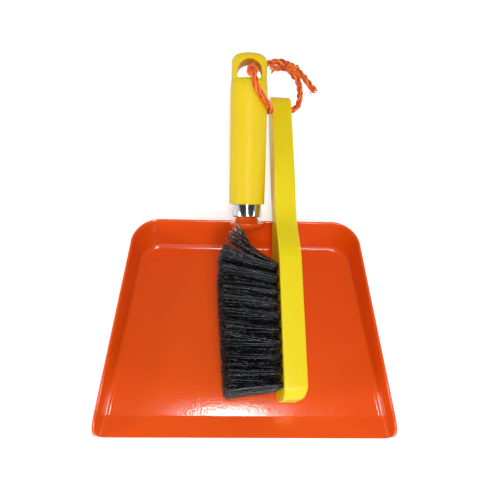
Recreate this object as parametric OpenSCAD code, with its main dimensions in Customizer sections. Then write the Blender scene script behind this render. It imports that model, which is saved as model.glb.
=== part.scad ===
// Dust pan and hand brush set: a drawn steel pan with a sleeved handle, and a
// tufted hand brush that hangs from the handle's eye by a knotted cord.
// Origin: middle of the pan's flat underside. +Y points from the mouth to the
// handle, +X to the right of someone who faces the mouth, +Z up.

/* [Pan] */
// Width of the floor at the mouth
mouth_w = 252; // [220:1:300]
// Width of the floor at the back wall
back_w = 204; // [180:1:230]
// Depth of the floor from the mouth to the back wall
pan_depth = 188; // [170:1:210]
// Height of the side walls at the mouth
mouth_h = 21; // [18:1:30]
// Height of the back wall
back_h = 37; // [32:1:44]
// Outward lean of the side walls in degrees
side_lean = 6.5; // [4:0.5:14]
// Outward lean of the back wall in degrees
back_lean = 14; // [8:1:20]
// Radius of the two back corners at the floor
corner_r = 19; // [10:1:24]
// Radius between the floor and the walls, inside
foot_r = 5; // [3:0.5:7]
// Radius of the walls' front corners
nose_r = 10; // [6:1:12]
// Thickness of the steel sheet
sheet_t = 1; // [0.8:0.1:1.4]
// Height of the hem that is folded down outside the rim
hem_h = 5; // [3:0.5:8]
// Depth of the ramp strip along the mouth
ramp_depth = 19; // [14:1:26]
// Height that the ramp strip gains towards the mouth edge
ramp_rise = 1.2; // [0.4:0.1:2]

/* [Handle] */
// Angle between the handle and the ground
handle_angle = 33; // [25:1:40]
// Length of bare neck between the back wall and the ferrule
neck_gap = 5; // [4.5:0.5:10]
// Outer diameter of the neck tube
neck_d = 20.5; // [18:0.5:22]
// Wall of the neck tube
neck_wall = 1.2; // [0.8:0.1:1.6]
// Length of neck tube that stands inside the grip
tang_l = 60; // [30:1:80]
// Width across the flared foot of the neck
foot_d = 35; // [32:1:38]
// Depth of the domed end of the foot
foot_dome = 8; // [6:0.5:9]
// Outer diameter of the ferrule
ferrule_d = 28.4; // [28:0.1:29.4]
// Length of the ferrule
ferrule_l = 12.5; // [9:0.5:16]
// Wall of the ferrule
ferrule_wall = 0.9; // [0.6:0.1:1.2]
// Diameter of the grip at the ferrule
grip_low_d = 34; // [32:0.5:36]
// Diameter of the grip at the cap
grip_top_d = 35.6; // [35:0.2:38]
// Length of the grip without its nose
grip_l = 116; // [105:1:130]
// Length of the grip's upper end that tapers to the cap
grip_taper_l = 6; // [2:0.5:8]

/* [Hanging cap] */
// Diameter of the cap
cap_d = 34; // [33:0.5:34.5]
// Length of the cap from the grip to its crown
cap_l = 26; // [25:0.5:30]
// Radius round the cap's crown
cap_edge_r = 7.5; // [4:0.5:8]
// Height of the crown above its edge
cap_crown = 0.8; // [0.2:0.1:1.6]
// Width of the hanging slot
slot_w = 23.4; // [23:0.2:26]
// Height of the hanging slot along the handle
slot_h = 17.2; // [17:0.2:19]
// Cap material below the slot
slot_floor = 1.5; // [1:0.5:1.5]
// Length of the plug that holds the cap in the grip
plug_l = 22; // [12:1:30]

/* [Brush] */
// Length of the brush
brush_l = 302; // [290:1:306]
// Thickness of the brush
brush_t = 20.5; // [18:0.5:21]
// Width of the bristle block
block_w = 46.4; // [45:0.2:46.4]
// Length of the bristle block at full width
block_l = 122; // [120:1:130]
// Radius of the block's corners
block_r = 12; // [8:1:16]
// Width of the handle's waist
waist_w = 20; // [18:0.5:20]
// Place of the waist along the brush
waist_at = 172; // [168:1:180]
// Width of the handle's belly
belly_w = 24.8; // [22:0.2:25]
// Place of the belly along the brush
belly_at = 215; // [205:1:235]
// Width of the handle's round end
tail_w = 23.2; // [21:0.2:24]
// Rounding of the edges on the bristle side
face_edge_r = 1.2; // [0.6:0.2:1.8]
// Rounding of the edges on the back
back_edge_r = 2.5; // [1.5:0.5:3.5]
// Rounding of the back where the block ends
toe_edge_r = 7; // [4:0.5:9]
// Thickness of the rims along the hollow handle
rim_w = 2.6; // [2:0.2:3.4]
// Thickness of the web over the hollow handle
web_t = 4; // [3:0.5:6]
// Start of the handle's hollow along the brush
hollow_at = 136; // [134:1:150]
// Diameter of the hanging hole
hole_d = 9; // [8.6:0.1:10]
// Distance of the hanging hole from the end
hole_in = 13; // [10.5:0.5:14]
// Distance of the block's end from the pan's mouth
toe_in = 26.2; // [24:0.2:30]

/* [Bristles] */
// Number of tuft columns along the block
columns = 10; // [10:1:10]
// Number of tufts in a column
tufts = 4; // [2:1:4]
// Spacing of the columns
column_pitch = 11.6; // [11.2:0.1:11.8]
// Spacing of the tufts in a column
tuft_pitch = 10.5; // [9.5:0.1:10.8]
// Place of the first column along the brush
first_column = 12.6; // [10:0.2:13.2]
// Diameter of a tuft hole
tuft_hole_d = 5; // [4.4:0.1:5.6]
// Depth of a tuft hole
tuft_hole_l = 11; // [8:0.5:13]
// Length of the bristles outside the block
bristle_l = 54; // [44:1:58]
// Length trimmed off the bristles at the block's end
toe_trim = 6; // [0:0.5:8]
// Diameter of a tuft at its tips
tip_d = 12.4; // [9:0.2:12.8]
// Lean of the first column towards the block's end in degrees
lean_first = -5; // [-6:1:0]
// Lean of the last column towards the handle in degrees
lean_last = 14; // [8:1:15]
// Lean of the lowest tuft of a column in degrees
lean_low = -3; // [-3:0.5:0]
// Further lean from one tuft of a column to the next in degrees
lean_step = 3; // [2:0.5:4]
// Thickness of an anchor staple
staple_t = 0.6; // [0.4:0.1:0.8]
// Width of an anchor staple
staple_w = 1.8; // [1.2:0.1:2.2]

/* [Cord] */
// Diameter of the hanging cord
cord_d = 5.6; // [4.6:0.1:6]
// Size of the knot
knot_d = 13.5; // [11:0.5:14]

/* [Clearances] */
// Gap between pieces that are pushed together
fit_gap = 0.1; // [0.05:0.05:0.2]
// Gap between the brush's block and the pan's floor
rest_gap = 0.3; // [0.2:0.1:0.5]
// Gap between the brush's waist and the back wall's rim
rim_gap = 1.8; // [0.8:0.1:2.4]
// Gap between the grip and the brush beside it
grip_gap = 5; // [4.6:0.1:8]

/* [Hidden] */
$fn = 64;

pan_red = [0.86, 0.27, 0.07];
sun_yellow = [0.95, 0.79, 0.1];
bristle_black = [0.07, 0.07, 0.08];
cord_orange = [0.92, 0.36, 0.1];

function lerp(a, b, f) = a + (b - a) * f;
function unit(v) = v / norm(v);

// ---------------------------------------------------------------- pan tray
half_mouth = mouth_w / 2;
half_back = back_w / 2;
half_depth = pan_depth / 2;
taper = atan((half_mouth - half_back) / pan_depth);
corner_y = half_depth - corner_r;
corner_x = half_mouth
    - (corner_r + (corner_y + half_depth) * sin(taper)) / cos(taper);
corner_steps = 8;
bend_steps = 4;
fold_gap = 0.3;
fold_r = fold_gap + sheet_t;
nose_steps = [0, 0.2, 0.45, 0.7, 1];

// Foot of the wall, as [x, y, direction that the wall faces, direction of the
// section]; along the sides the sections stay square to the mouth.
side_feet = [for (d = concat(nose_steps * nose_r, [ramp_depth]))
    [half_mouth - d * tan(taper), d - half_depth, taper, 0]];
corner_feet = [for (k = [0:corner_steps])
    let (b = lerp(taper, 90, k / corner_steps))
    [corner_x + corner_r * cos(b), corner_y + corner_r * sin(b), b, b]];
right_feet = concat(side_feet, corner_feet);
feet = concat(right_feet,
    [for (k = [len(right_feet) - 1:-1:0]) let (f = right_feet[k])
        [-f.x, f.y, 180 - f.z, 180 - f[3]]]);

function facing(b) = b > 90 ? 180 - b : b;
function lean(b) = lerp(side_lean, back_lean, (facing(b) - taper) / (90 - taper));
function mouth_dist(y) = y + half_depth;
function ramp_z(y) = ramp_rise * max(0, 1 - mouth_dist(y) / ramp_depth);
function nose_drop(y) = mouth_dist(y) >= nose_r ? 0
    : nose_r - sqrt(nose_r^2 - (nose_r - mouth_dist(y))^2);
function rim_z(y) = lerp(mouth_h, back_h, mouth_dist(y) / pan_depth) - nose_drop(y);

// Length of the wall's slope up to its hem
function rim_climb(rim, l) = (rim - sheet_t - fold_r * (1 - sin(l))) / cos(l);

// Wall section on flat ground, as [distance outwards from the foot, height]
function section(rim, l) =
    let (turn = 90 - l,
        out = [cos(l), -sin(l)],
        up = [sin(l), cos(l)],
        tangent = foot_r * tan(turn / 2),
        bend = [-tangent, sheet_t + foot_r],
        top = [0, sheet_t] + rim_climb(rim, l) * up,
        fold = top + fold_r * out)
    concat(
        [for (k = [0:bend_steps]) let (a = turn * k / bend_steps)
            bend + foot_r * [sin(a), -cos(a)]],
        [for (k = [0:bend_steps]) let (a = 180 * k / bend_steps)
            fold + fold_r * (sin(a) * up - cos(a) * out)],
        [fold + fold_r * out - hem_h * up, fold + fold_gap * out - hem_h * up],
        [for (k = [bend_steps:-1:0]) let (a = 180 * k / bend_steps)
            fold + fold_gap * (sin(a) * up - cos(a) * out)],
        [for (k = [bend_steps:-1:0]) let (a = turn * k / bend_steps)
            bend + (foot_r + sheet_t) * [sin(a), -cos(a)]]);

function placed(foot, p, dz) =
    let (across = p.x / cos(foot.z - foot[3]))
    [foot.x + across * cos(foot[3]), foot.y + across * sin(foot[3]), p.y + dz];

module formed_sheet() {
    sections = [for (f = feet) let (dz = ramp_z(f.y))
        [for (p = section(rim_z(f.y) - dz, lean(f.z))) placed(f, p, dz)]];
    n = len(feet);
    m = len(sections[0]);
    bend_at = len(side_feet) - 1;
    polyhedron(
        points = [for (s = sections) for (p = s) p],
        faces = concat(
            [for (i = [0:n - 2]) for (j = [0:m - 2])
                [i * m + j, (i + 1) * m + j, (i + 1) * m + j + 1, i * m + j + 1]],
            [[for (j = [0:m - 1]) j], [for (j = [m - 1:-1:0]) (n - 1) * m + j]],
            [[0, m - 1, n * m - 1, (n - 1) * m]],
            [concat([for (i = [n - 1:-1:n - 1 - bend_at]) i * m],
                [for (i = [bend_at:-1:0]) i * m])],
            [[for (i = [n - 1 - bend_at:-1:bend_at]) i * m]],
            [concat([for (i = [0:bend_at]) i * m + m - 1],
                [for (i = [n - 1 - bend_at:n - 1]) i * m + m - 1])],
            [[for (i = [bend_at:n - 1 - bend_at]) i * m + m - 1]]),
        convexity = 6);
}

// ---------------------------------------------------------------- handle
// The handle's axis leaves the back wall's rim; its own Z runs up the handle.
rim_y = half_depth + back_h * tan(back_lean);
module on_handle(s = 0) {
    translate([0, rim_y, back_h - sheet_t / 2])
        rotate([handle_angle - 90, 0, 0]) translate([0, 0, s]) children();
}

neck_r = neck_d / 2;
flare_r = 4;
foot_edge = -1.5;
ferrule_at = neck_gap;
grip_at = ferrule_at + ferrule_l;
cap_at = grip_at + grip_l;
nose_d = ferrule_d - 2 * ferrule_wall - 2 * fit_gap;
bore_d = neck_d + 2 * fit_gap;
dome_steps = 10;

function neck_side(grow) =
    let (r = neck_r + grow, foot = foot_d / 2 + grow, q = flare_r - grow)
    concat(
        [for (k = [0:dome_steps]) let (a = 90 * k / dome_steps)
            [foot * sin(a), foot_edge - (foot_dome + grow) * cos(a)]],
        [for (k = [0:dome_steps / 2]) let (a = 90 * k / (dome_steps / 2))
            [r + q * (1 - sin(a)), foot_edge + 1 + grow + q * (1 - cos(a))]]);

module neck_shape(grow, end) {
    rotate_extrude()
        polygon(concat(neck_side(grow), [[neck_r + grow, end], [0, end]]));
}

module pan_tray() {
    color(pan_red) difference() {
        formed_sheet();
        on_handle() neck_shape(fit_gap, grip_at);
    }
}

module neck_socket() {
    color(pan_red) on_handle() difference() {
        neck_shape(0, grip_at + tang_l);
        neck_shape(-neck_wall, grip_at + tang_l + 1);
    }
}

module ferrule() {
    r = ferrule_d / 2;
    edge = 1.5;
    color([0.8, 0.8, 0.82]) on_handle(ferrule_at) difference() {
        rotate_extrude() polygon(concat([[0, 0]],
            [for (a = [0:15:90])
                [r - edge + edge * sin(a), edge - edge * cos(a)]],
            [[r, ferrule_l], [0, ferrule_l]]));
        translate([0, 0, -1]) cylinder(h = ferrule_wall + 2, d = bore_d);
        translate([0, 0, ferrule_wall])
            cylinder(h = ferrule_l, d = ferrule_d - 2 * ferrule_wall);
    }
}

module grip() {
    low = grip_low_d / 2;
    top = grip_top_d / 2;
    chamfer = 0.5;
    nose_l = ferrule_l - ferrule_wall - fit_gap;
    color(sun_yellow) on_handle(grip_at) difference() {
        rotate_extrude() polygon(concat(
            [[0, -nose_l], [nose_d / 2, -nose_l], [nose_d / 2, 0],
                [low - chamfer, 0], [low, chamfer]],
            [[top, grip_l - grip_taper_l], [cap_d / 2 + 0.3, grip_l], [0, grip_l]]));
        translate([0, 0, -nose_l - 1])
            cylinder(h = nose_l + grip_l + 2, d = bore_d);
    }
}

// The slot's outline: flat below, round above; X across, Y up the handle.
module slot_outline() {
    r = slot_w / 2;
    corner = 2;
    translate([0, slot_h - r]) intersection() {
        circle(r = r);
        translate([-r, 0]) square([slot_w, r]);
    }
    translate([-r, corner]) square([slot_w, slot_h - r - corner]);
    translate([corner - r, 0]) square([slot_w - 2 * corner, corner + 1]);
    for (side = [-1, 1]) translate([side * (r - corner), corner]) circle(r = corner);
}

module hang_cap() {
    r = cap_d / 2;
    edge_z = cap_l - cap_crown - cap_edge_r;
    color(sun_yellow) on_handle(cap_at) {
        difference() {
            rotate_extrude() polygon(concat([[0, 0], [r, 0]],
                [for (a = [0:10:80])
                    [r - cap_edge_r * (1 - cos(a)), edge_z + cap_edge_r * sin(a)]],
                [[0, cap_l]]));
            translate([0, 0, slot_floor]) rotate([90, 0, 0])
                linear_extrude(2 * cap_d, center = true) slot_outline();
        }
        translate([0, 0, -plug_l]) difference() {
            cylinder(h = plug_l + slot_floor / 2, d = neck_d);
            translate([0, 0, -1]) cylinder(h = plug_l, d = neck_d - 6);
        }
    }
}

// ---------------------------------------------------------------- brush
// The brush lies on its side: its block stands on the pan's floor and its
// waist on the back wall's rim. Its pitch follows from those two seats.
brush_yaw = 1.3;
brush_roll = 4.5;
fold_y = half_depth + rim_climb(back_h, back_lean) * sin(back_lean)
    + fold_r * cos(back_lean);
fold_z = back_h - fold_r;

// Depth of the brush's lower side below its axis, where it is half wide
function side_drop(half) = (half - back_edge_r) * cos(brush_roll)
    + (brush_t - back_edge_r) * sin(brush_roll) + back_edge_r;
// Depth of the block's lowest corner below the brush's origin
function corner_drop(p) =
    (block_w / 2 - block_r) * cos(p) * cos(brush_roll) - block_r * sin(p)
    + (block_r - back_edge_r) * norm([cos(p) * cos(brush_roll), sin(p)])
    + (brush_t - back_edge_r) * cos(p) * sin(brush_roll) + back_edge_r;
function brush_place(p) =
    let (run = (brush_l - hole_in) * cos(p))
    [grip_top_d / 2 + grip_gap + run * sin(brush_yaw), toe_in - half_depth,
        sheet_t + rest_gap + corner_drop(p)];
function rest_pitch(p, tries) = tries == 0 ? p :
    let (reach = (fold_y - brush_place(p).y) / cos(brush_yaw),
        rise = fold_z - brush_place(p).z,
        drop = side_drop(half_w(norm([reach, rise]))))
    rest_pitch(atan2(rise, reach)
        + asin((drop + fold_r + rim_gap) / norm([reach, rise])), tries - 1);
brush_pitch = rest_pitch(8, 5);
brush_spot = brush_place(brush_pitch);

// Brush coordinates: X across the brush, Y from the block's end to the
// handle's end, Z from the bristle face to the back.
module on_brush() {
    translate(brush_spot) rotate([0, 0, brush_yaw]) rotate([brush_pitch, 0, 0])
        rotate([0, 90 + brush_roll, 0]) children();
}

function ease(a, b, f) = lerp(a, b, (1 - cos(180 * f)) / 2);
function half_w(y) =
    y < block_l ? block_w / 2
    : y < waist_at ? ease(block_w, waist_w, (y - block_l) / (waist_at - block_l)) / 2
    : y < belly_at ? ease(waist_w, belly_w, (y - waist_at) / (belly_at - waist_at)) / 2
    : ease(belly_w, tail_w, (y - belly_at) / (tail_y - belly_at)) / 2;
tail_y = brush_l - tail_w / 2;
side_step = 8;
outline_side = concat(
    [for (a = [0:18:90]) [block_w / 2 - block_r * (1 - sin(a)), block_r * (1 - cos(a))]],
    [for (y = [block_l:side_step:tail_y - side_step / 2]) [half_w(y), y]],
    [for (a = [0:15:75]) [tail_w / 2 * cos(a), tail_y + tail_w / 2 * sin(a)]]);
outline = concat([[0, 0]], outline_side, [[0, brush_l]],
    [for (k = [len(outline_side) - 1:-1:0]) [-outline_side[k].x, outline_side[k].y]]);

function outward(k) =
    let (n = len(outline),
        along = outline[(k + 1) % n] - outline[(k + n - 1) % n])
    unit([along.y, -along.x]);
function back_r(y) = ease(toe_edge_r, back_edge_r, min(1, y / block_r));
function brush_ring(inset, z) =
    [for (k = [0:len(outline) - 1])
        let (p = outline[k] - inset(outline[k].y) * outward(k)) [p.x, p.y, z(outline[k].y)]];

module moulded_body() {
    rings = concat(
        [for (a = [0:30:90]) brush_ring(
            function (y) face_edge_r * (1 - sin(a)),
            function (y) face_edge_r * (1 - cos(a)))],
        [for (a = [0:18:90]) brush_ring(
            function (y) back_r(y) * (1 - cos(a)),
            function (y) brush_t - back_r(y) * (1 - sin(a)))]);
    n = len(outline);
    last = (len(rings) - 1) * n;
    polyhedron(
        points = [for (r = rings) for (p = r) p],
        faces = concat(
            [for (i = [0:len(rings) - 2]) for (k = [0:n - 1])
                let (a = i * n + k, b = i * n + (k + 1) % n) [a, a + n, b + n, b]],
            [for (k = [1:n / 2 - 2]) [k, k + 1, n - k - 1, n - k]],
            [for (k = [1:n / 2 - 2]) [last + n - k, last + n - k - 1, last + k + 1, last + k]],
            [[0, 1, n - 1], [n / 2 - 1, n / 2, n / 2 + 1],
                [last + n - 1, last + 1, last], [last + n / 2 + 1, last + n / 2, last + n / 2 - 1]]),
        convexity = 4);
}

hollow_r = 12;
function hollow_half(y) =
    let (f = min(1, (y - hollow_at) / hollow_r))
    (half_w(y) - rim_w) * sqrt(1 - (1 - f)^2);

module hollow_outline() {
    side = concat(
        [for (f = [0.04, 0.15, 0.35, 0.6, 1])
            let (y = hollow_at + f * hollow_r) [hollow_half(y), y]],
        [for (y = [hollow_at + hollow_r + side_step:side_step:tail_y - side_step / 2])
            [half_w(y) - rim_w, y]],
        [for (a = [0:15:75])
            (tail_w / 2 - rim_w) * [cos(a), sin(a)] + [0, tail_y]]);
    polygon(concat([[0, hollow_at]], side, [[0, brush_l - rim_w]],
        [for (k = [len(side) - 1:-1:0]) [-side[k].x, side[k].y]]));
}

function column_y(c) = first_column + c * column_pitch;
function tuft_x(t) = (t - (tufts - 1) / 2) * tuft_pitch;

module brush_body() {
    color(sun_yellow) on_brush() difference() {
        moulded_body();
        translate([0, 0, -1]) linear_extrude(brush_t - web_t + 1) hollow_outline();
        translate([0, brush_l - hole_in, -1]) cylinder(h = brush_t + 2, d = hole_d);
        for (c = [0:columns - 1]) for (t = [0:tufts - 1])
            translate([tuft_x(t), column_y(c), -1])
                cylinder(h = tuft_hole_l + 1, d = tuft_hole_d, $fn = 24);
    }
}

staple_z = tuft_hole_l - 2.5;
root_d = tuft_hole_d - 2 * fit_gap;

// Tufts are folded round their staples; X is down when the brush lies in the pan.
module tuft(lean_x, lean_y, length) {
    overlap = 1;
    difference() {
        cylinder(h = tuft_hole_l - fit_gap, d = root_d, $fn = 24);
        translate([0, 0, staple_z]) cube([tuft_hole_d, staple_t + 2 * fit_gap,
            staple_w + 2 * fit_gap], center = true);
    }
    rotate([180 + lean_y, lean_x, 0]) translate([0, 0, -overlap])
        cylinder(h = length + overlap, d1 = root_d - 0.4, d2 = tip_d, $fn = 24);
}

module tuft_column(c) {
    share = c / (columns - 1);
    color(bristle_black) on_brush() for (t = [0:tufts - 1])
        translate([tuft_x(t), column_y(c), 0])
            tuft(lean_low + (tufts - 1 - t) * lean_step,
                lerp(lean_first, lean_last, share), bristle_l - toe_trim * (1 - share));
}

module staples() {
    color("lightgray") on_brush() for (c = [0:columns - 1]) for (t = [0:tufts - 1])
        translate([tuft_x(t), column_y(c), staple_z])
            cube([tuft_hole_d - 0.6, staple_t, staple_w], center = true);
}

// ---------------------------------------------------------------- cord
// The loop leaves the knot, goes through the brush's hanging hole, up past the
// grip, through the cap's slot and back to the knot.
loop_route = [
    [43.5, 235, 100], [48, 232.5, 96.5], [50.6, 229, 91], [51.8, 226, 85],
    [52.2, 223.6, 79], [51.6, 221.8, 73.2], [49.4, 220.4, 69], [45.6, 219.3, 66.4],
    [41, 218.8, 65.8], [36, 218.5, 66.4], [31.5, 217.8, 67.6], [26.5, 216, 69.5],
    [22.4, 213, 72.6], [20.3, 209, 76.6], [20, 203.5, 82], [20.3, 197.5, 89],
    [20.9, 192, 96.5], [18.6, 190.5, 105.5], [13.2, 191.5, 113.8], [7.6, 195.5, 121.3],
    [4.8, 200, 126.8], [3.6, 205.5, 130.4], [2.9, 212, 130.8], [2.3, 218, 127.3],
    [1.6, 222, 121.5], [0.8, 225.3, 114.8], [0.5, 229.5, 108.5], [1.5, 235, 103],
    [6.5, 240, 100], [13, 244, 101.2], [20.5, 246.1, 103.8], [29.5, 245.9, 106],
    [36, 243.3, 106.8], [40.5, 240.6, 106]];
long_tail_route = [
    [46, 236.5, 104.6], [49.5, 233.3, 104.6], [54.2, 227.7, 103.6],
    [58.6, 221.6, 102], [62.5, 216.6, 100], [64.7, 213.3, 98.5]];
short_tail_route = [
    [39.5, 239.4, 102.6], [36.4, 241.1, 102.4], [29.8, 242.3, 101.4], [24.8, 241.8, 100.6],
    [20.4, 241, 100.4]];
knot_at = [42.9, 238.2, 104];
cord_sides = 10;

function tangent(route, i) =
    unit(route[min(i + 1, len(route) - 1)] - route[max(i - 1, 0)]);
// A normal for each route point, carried along so that the tube doesn't twist
function normals(route, found = []) =
    let (i = len(found), t = tangent(route, i),
        last = i == 0 ? [0.3, 0.2, 1] : found[i - 1])
    i == len(route) ? found
    : normals(route, concat(found, [unit(last - (last * t) * t)]));

module cord_tube(route) {
    across = normals(route);
    n = len(route);
    polyhedron(
        points = [for (i = [0:n - 1]) for (k = [0:cord_sides - 1])
            let (a = 360 * k / cord_sides)
            route[i] + cord_d / 2 * (cos(a) * across[i]
                + sin(a) * cross(tangent(route, i), across[i]))],
        faces = concat(
            [for (i = [0:n - 2]) for (k = [0:cord_sides - 1])
                let (a = i * cord_sides + k,
                    b = i * cord_sides + (k + 1) % cord_sides)
                [a, a + cord_sides, b + cord_sides, b]],
            [[for (k = [0:cord_sides - 1]) k],
                [for (k = [cord_sides - 1:-1:0]) (n - 1) * cord_sides + k]]),
        convexity = 8);
}

module cord_loop() {
    color(cord_orange) cord_tube(loop_route);
}

module cord_knot() {
    color(cord_orange) translate(knot_at) sphere(d = knot_d, $fn = 32);
}

module cord_tail_long() {
    color(cord_orange) cord_tube(long_tail_route);
}

module cord_tail_short() {
    color(cord_orange) cord_tube(short_tail_route);
}

pan_tray();
neck_socket();
ferrule();
grip();
hang_cap();
brush_body();
tuft_column(0);  // tufts_01
tuft_column(1);  // tufts_02
tuft_column(2);  // tufts_03
tuft_column(3);  // tufts_04
tuft_column(4);  // tufts_05
tuft_column(5);  // tufts_06
tuft_column(6);  // tufts_07
tuft_column(7);  // tufts_08
tuft_column(8);  // tufts_09
tuft_column(9);  // tufts_10
staples();
cord_loop();
cord_knot();
cord_tail_long();
cord_tail_short();
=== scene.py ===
"""Dust pan and hand brush set: modelled pieces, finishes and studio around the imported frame.

Every length is in metres. +Y runs from the pan's mouth to its handle, +X to the right of
someone who faces the mouth, +Z up, with the origin in the middle of the pan's underside.
"""

import logging
import math
import random
from collections.abc import Callable, Iterable, Sequence
from dataclasses import dataclass, field
from enum import Enum

import bmesh
import bpy
from mathutils import Matrix, Vector


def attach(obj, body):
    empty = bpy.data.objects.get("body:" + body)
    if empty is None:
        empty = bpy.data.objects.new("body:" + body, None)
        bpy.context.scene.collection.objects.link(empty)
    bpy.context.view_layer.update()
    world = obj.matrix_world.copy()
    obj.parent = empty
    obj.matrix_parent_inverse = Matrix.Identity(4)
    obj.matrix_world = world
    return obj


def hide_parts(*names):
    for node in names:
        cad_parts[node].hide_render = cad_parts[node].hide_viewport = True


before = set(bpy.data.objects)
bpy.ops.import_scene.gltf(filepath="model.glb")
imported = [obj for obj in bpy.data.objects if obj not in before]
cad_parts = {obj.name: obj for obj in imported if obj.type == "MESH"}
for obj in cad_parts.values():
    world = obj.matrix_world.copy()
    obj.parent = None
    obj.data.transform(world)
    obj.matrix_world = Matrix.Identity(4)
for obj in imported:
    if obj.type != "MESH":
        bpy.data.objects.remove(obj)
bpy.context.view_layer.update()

LOG = logging.getLogger("dust_pan_set")
Color = tuple[float, float, float]
Profile = Sequence[tuple[float, float]]
Form = bmesh.types.BMesh
Material = bpy.types.Material
Node = bpy.types.Node
Piece = bpy.types.Object
Socket = bpy.types.NodeSocket
Tree = bpy.types.NodeTree


class Body(Enum):
    """Bodies of the frame that pieces ride on."""

    PAN = "pan"
    CORD = "cord"
    BRUSH = "brush"


class Slot(Enum):
    """Material slots of the record, listed here but given to no piece."""

    PAINT = "painted_steel"
    CHROME = "chrome_ferrule"
    GRIP = "yellow_plastic"
    BRUSH = "brush_plastic"
    BRISTLE = "black_bristle"
    CORD = "cord_fibre"


# ------------------------------------------------------------------ small maths


def lerp(a: float, b: float, f: float) -> float:
    """Returns the value a share f of the way from a to b."""
    return a + (b - a) * f


def ease(a: float, b: float, f: float) -> float:
    """Returns a smooth cosine blend from a to b."""
    return lerp(a, b, (1 - math.cos(math.pi * min(max(f, 0.0), 1.0))) / 2)


def arc(centre: tuple[float, float], radius: float, start: float, end: float,
        steps: int) -> list[tuple[float, float]]:
    """Lists points along an arc.

    Args:
        centre: Middle of the arc.
        radius: Radius of the arc.
        start: First angle in degrees.
        end: Last angle in degrees.
        steps: Number of stretches.

    Returns:
        steps + 1 points, both ends included.
    """
    turns = [math.radians(lerp(start, end, k / steps)) for k in range(steps + 1)]
    return [(centre[0] + radius * math.cos(a), centre[1] + radius * math.sin(a)) for a in turns]


# ------------------------------------------------------------------ mesh helpers


def finish_mesh(name: str, bm: Form, sharp: float = 35.0) -> Piece:
    """Turns a bmesh into a linked object with smooth faces and sharp creases.

    Args:
        name: Name of the piece.
        bm: The mesh, which is freed.
        sharp: Angle in degrees from which an edge stays sharp.

    Returns:
        The new object, at the origin.
    """
    mesh = bpy.data.meshes.new(name)
    bm.to_mesh(mesh)
    bm.free()
    for polygon in mesh.polygons:
        polygon.use_smooth = True
    mesh.set_sharp_from_angle(angle=math.radians(sharp))
    piece = bpy.data.objects.new(name, mesh)
    bpy.context.scene.collection.objects.link(piece)
    return piece


def apply_modifiers(piece: Piece) -> None:
    """Replaces the piece's mesh by its evaluated one and drops its modifiers."""
    graph = bpy.context.evaluated_depsgraph_get()
    mesh = bpy.data.meshes.new_from_object(piece.evaluated_get(graph))
    old = piece.data
    piece.modifiers.clear()
    piece.data = mesh
    mesh.name = piece.name
    if old.users == 0:
        bpy.data.meshes.remove(old)


def add_bevel(piece: Piece, width: float, segments: int, angle: float = 40.0) -> None:
    """Adds a Bevel modifier on the piece's sharp edges.

    Args:
        piece: Object to soften.
        width: Width of the rounding.
        segments: Number of faces across it.
        angle: Angle in degrees from which an edge is rounded.
    """
    bevel = piece.modifiers.new("edge_round", "BEVEL")
    bevel.width = width
    bevel.segments = segments
    bevel.limit_method = "ANGLE"
    bevel.angle_limit = math.radians(angle)
    bevel.use_clamp_overlap = True
    bevel.harden_normals = False


def add_weighted_normals(piece: Piece) -> None:
    """Keeps large flat faces flat beside their rounded edges."""
    normals = piece.modifiers.new("weighted_normals", "WEIGHTED_NORMAL")
    normals.keep_sharp = True
    normals.weight = 80


def revolved(profile: Profile, place: Matrix, steps: int = 96) -> Form:
    """Turns a profile round the Z axis into a closed shape.

    Args:
        profile: Points as (radius, height), from one end to the other.
        place: Where the shape goes.
        steps: Faces round the axis.

    Returns:
        The shape as a bmesh with outward normals.
    """
    bm = bmesh.new()
    verts = [bm.verts.new((r, 0.0, z)) for r, z in profile]
    edges = [bm.edges.new(pair) for pair in zip(verts, verts[1:])]
    bmesh.ops.spin(bm, geom=verts + edges, cent=(0, 0, 0), axis=(0, 0, 1),
                   angle=2 * math.pi, steps=steps, use_merge=True, use_duplicate=False)
    bmesh.ops.remove_doubles(bm, verts=bm.verts[:], dist=1e-6)
    bmesh.ops.recalc_face_normals(bm, faces=bm.faces[:])
    bmesh.ops.transform(bm, matrix=place, verts=bm.verts[:])
    return bm


def prism(outline: Sequence[Vector], reach: Vector) -> Form:
    """Draws a flat outline out into a closed shape.

    Args:
        outline: Corners of the flat end, in order.
        reach: Way from that end to the other.

    Returns:
        The shape as a bmesh with outward normals.
    """
    bm = bmesh.new()
    face = bmesh.ops.contextual_create(bm, geom=[bm.verts.new(p) for p in outline])["faces"]
    grown = bmesh.ops.extrude_face_region(bm, geom=face, use_keep_orig=True)["geom"]
    far = [part for part in grown if isinstance(part, bmesh.types.BMVert)]
    bmesh.ops.translate(bm, verts=far, vec=reach)
    bmesh.ops.recalc_face_normals(bm, faces=bm.faces[:])
    return bm


def cut(piece: Piece, cutter_mesh: Form) -> None:
    """Cuts a closed shape out of a piece.

    Args:
        piece: Object that loses the material.
        cutter_mesh: The shape to cut away, which is freed.
    """
    cutter = finish_mesh(piece.name + "_cutter", cutter_mesh)
    boolean = piece.modifiers.new("cut", "BOOLEAN")
    boolean.operation = "DIFFERENCE"
    boolean.solver = "EXACT"
    boolean.object = cutter
    apply_modifiers(piece)
    mesh = cutter.data
    bpy.data.objects.remove(cutter)
    bpy.data.meshes.remove(mesh)


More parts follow.
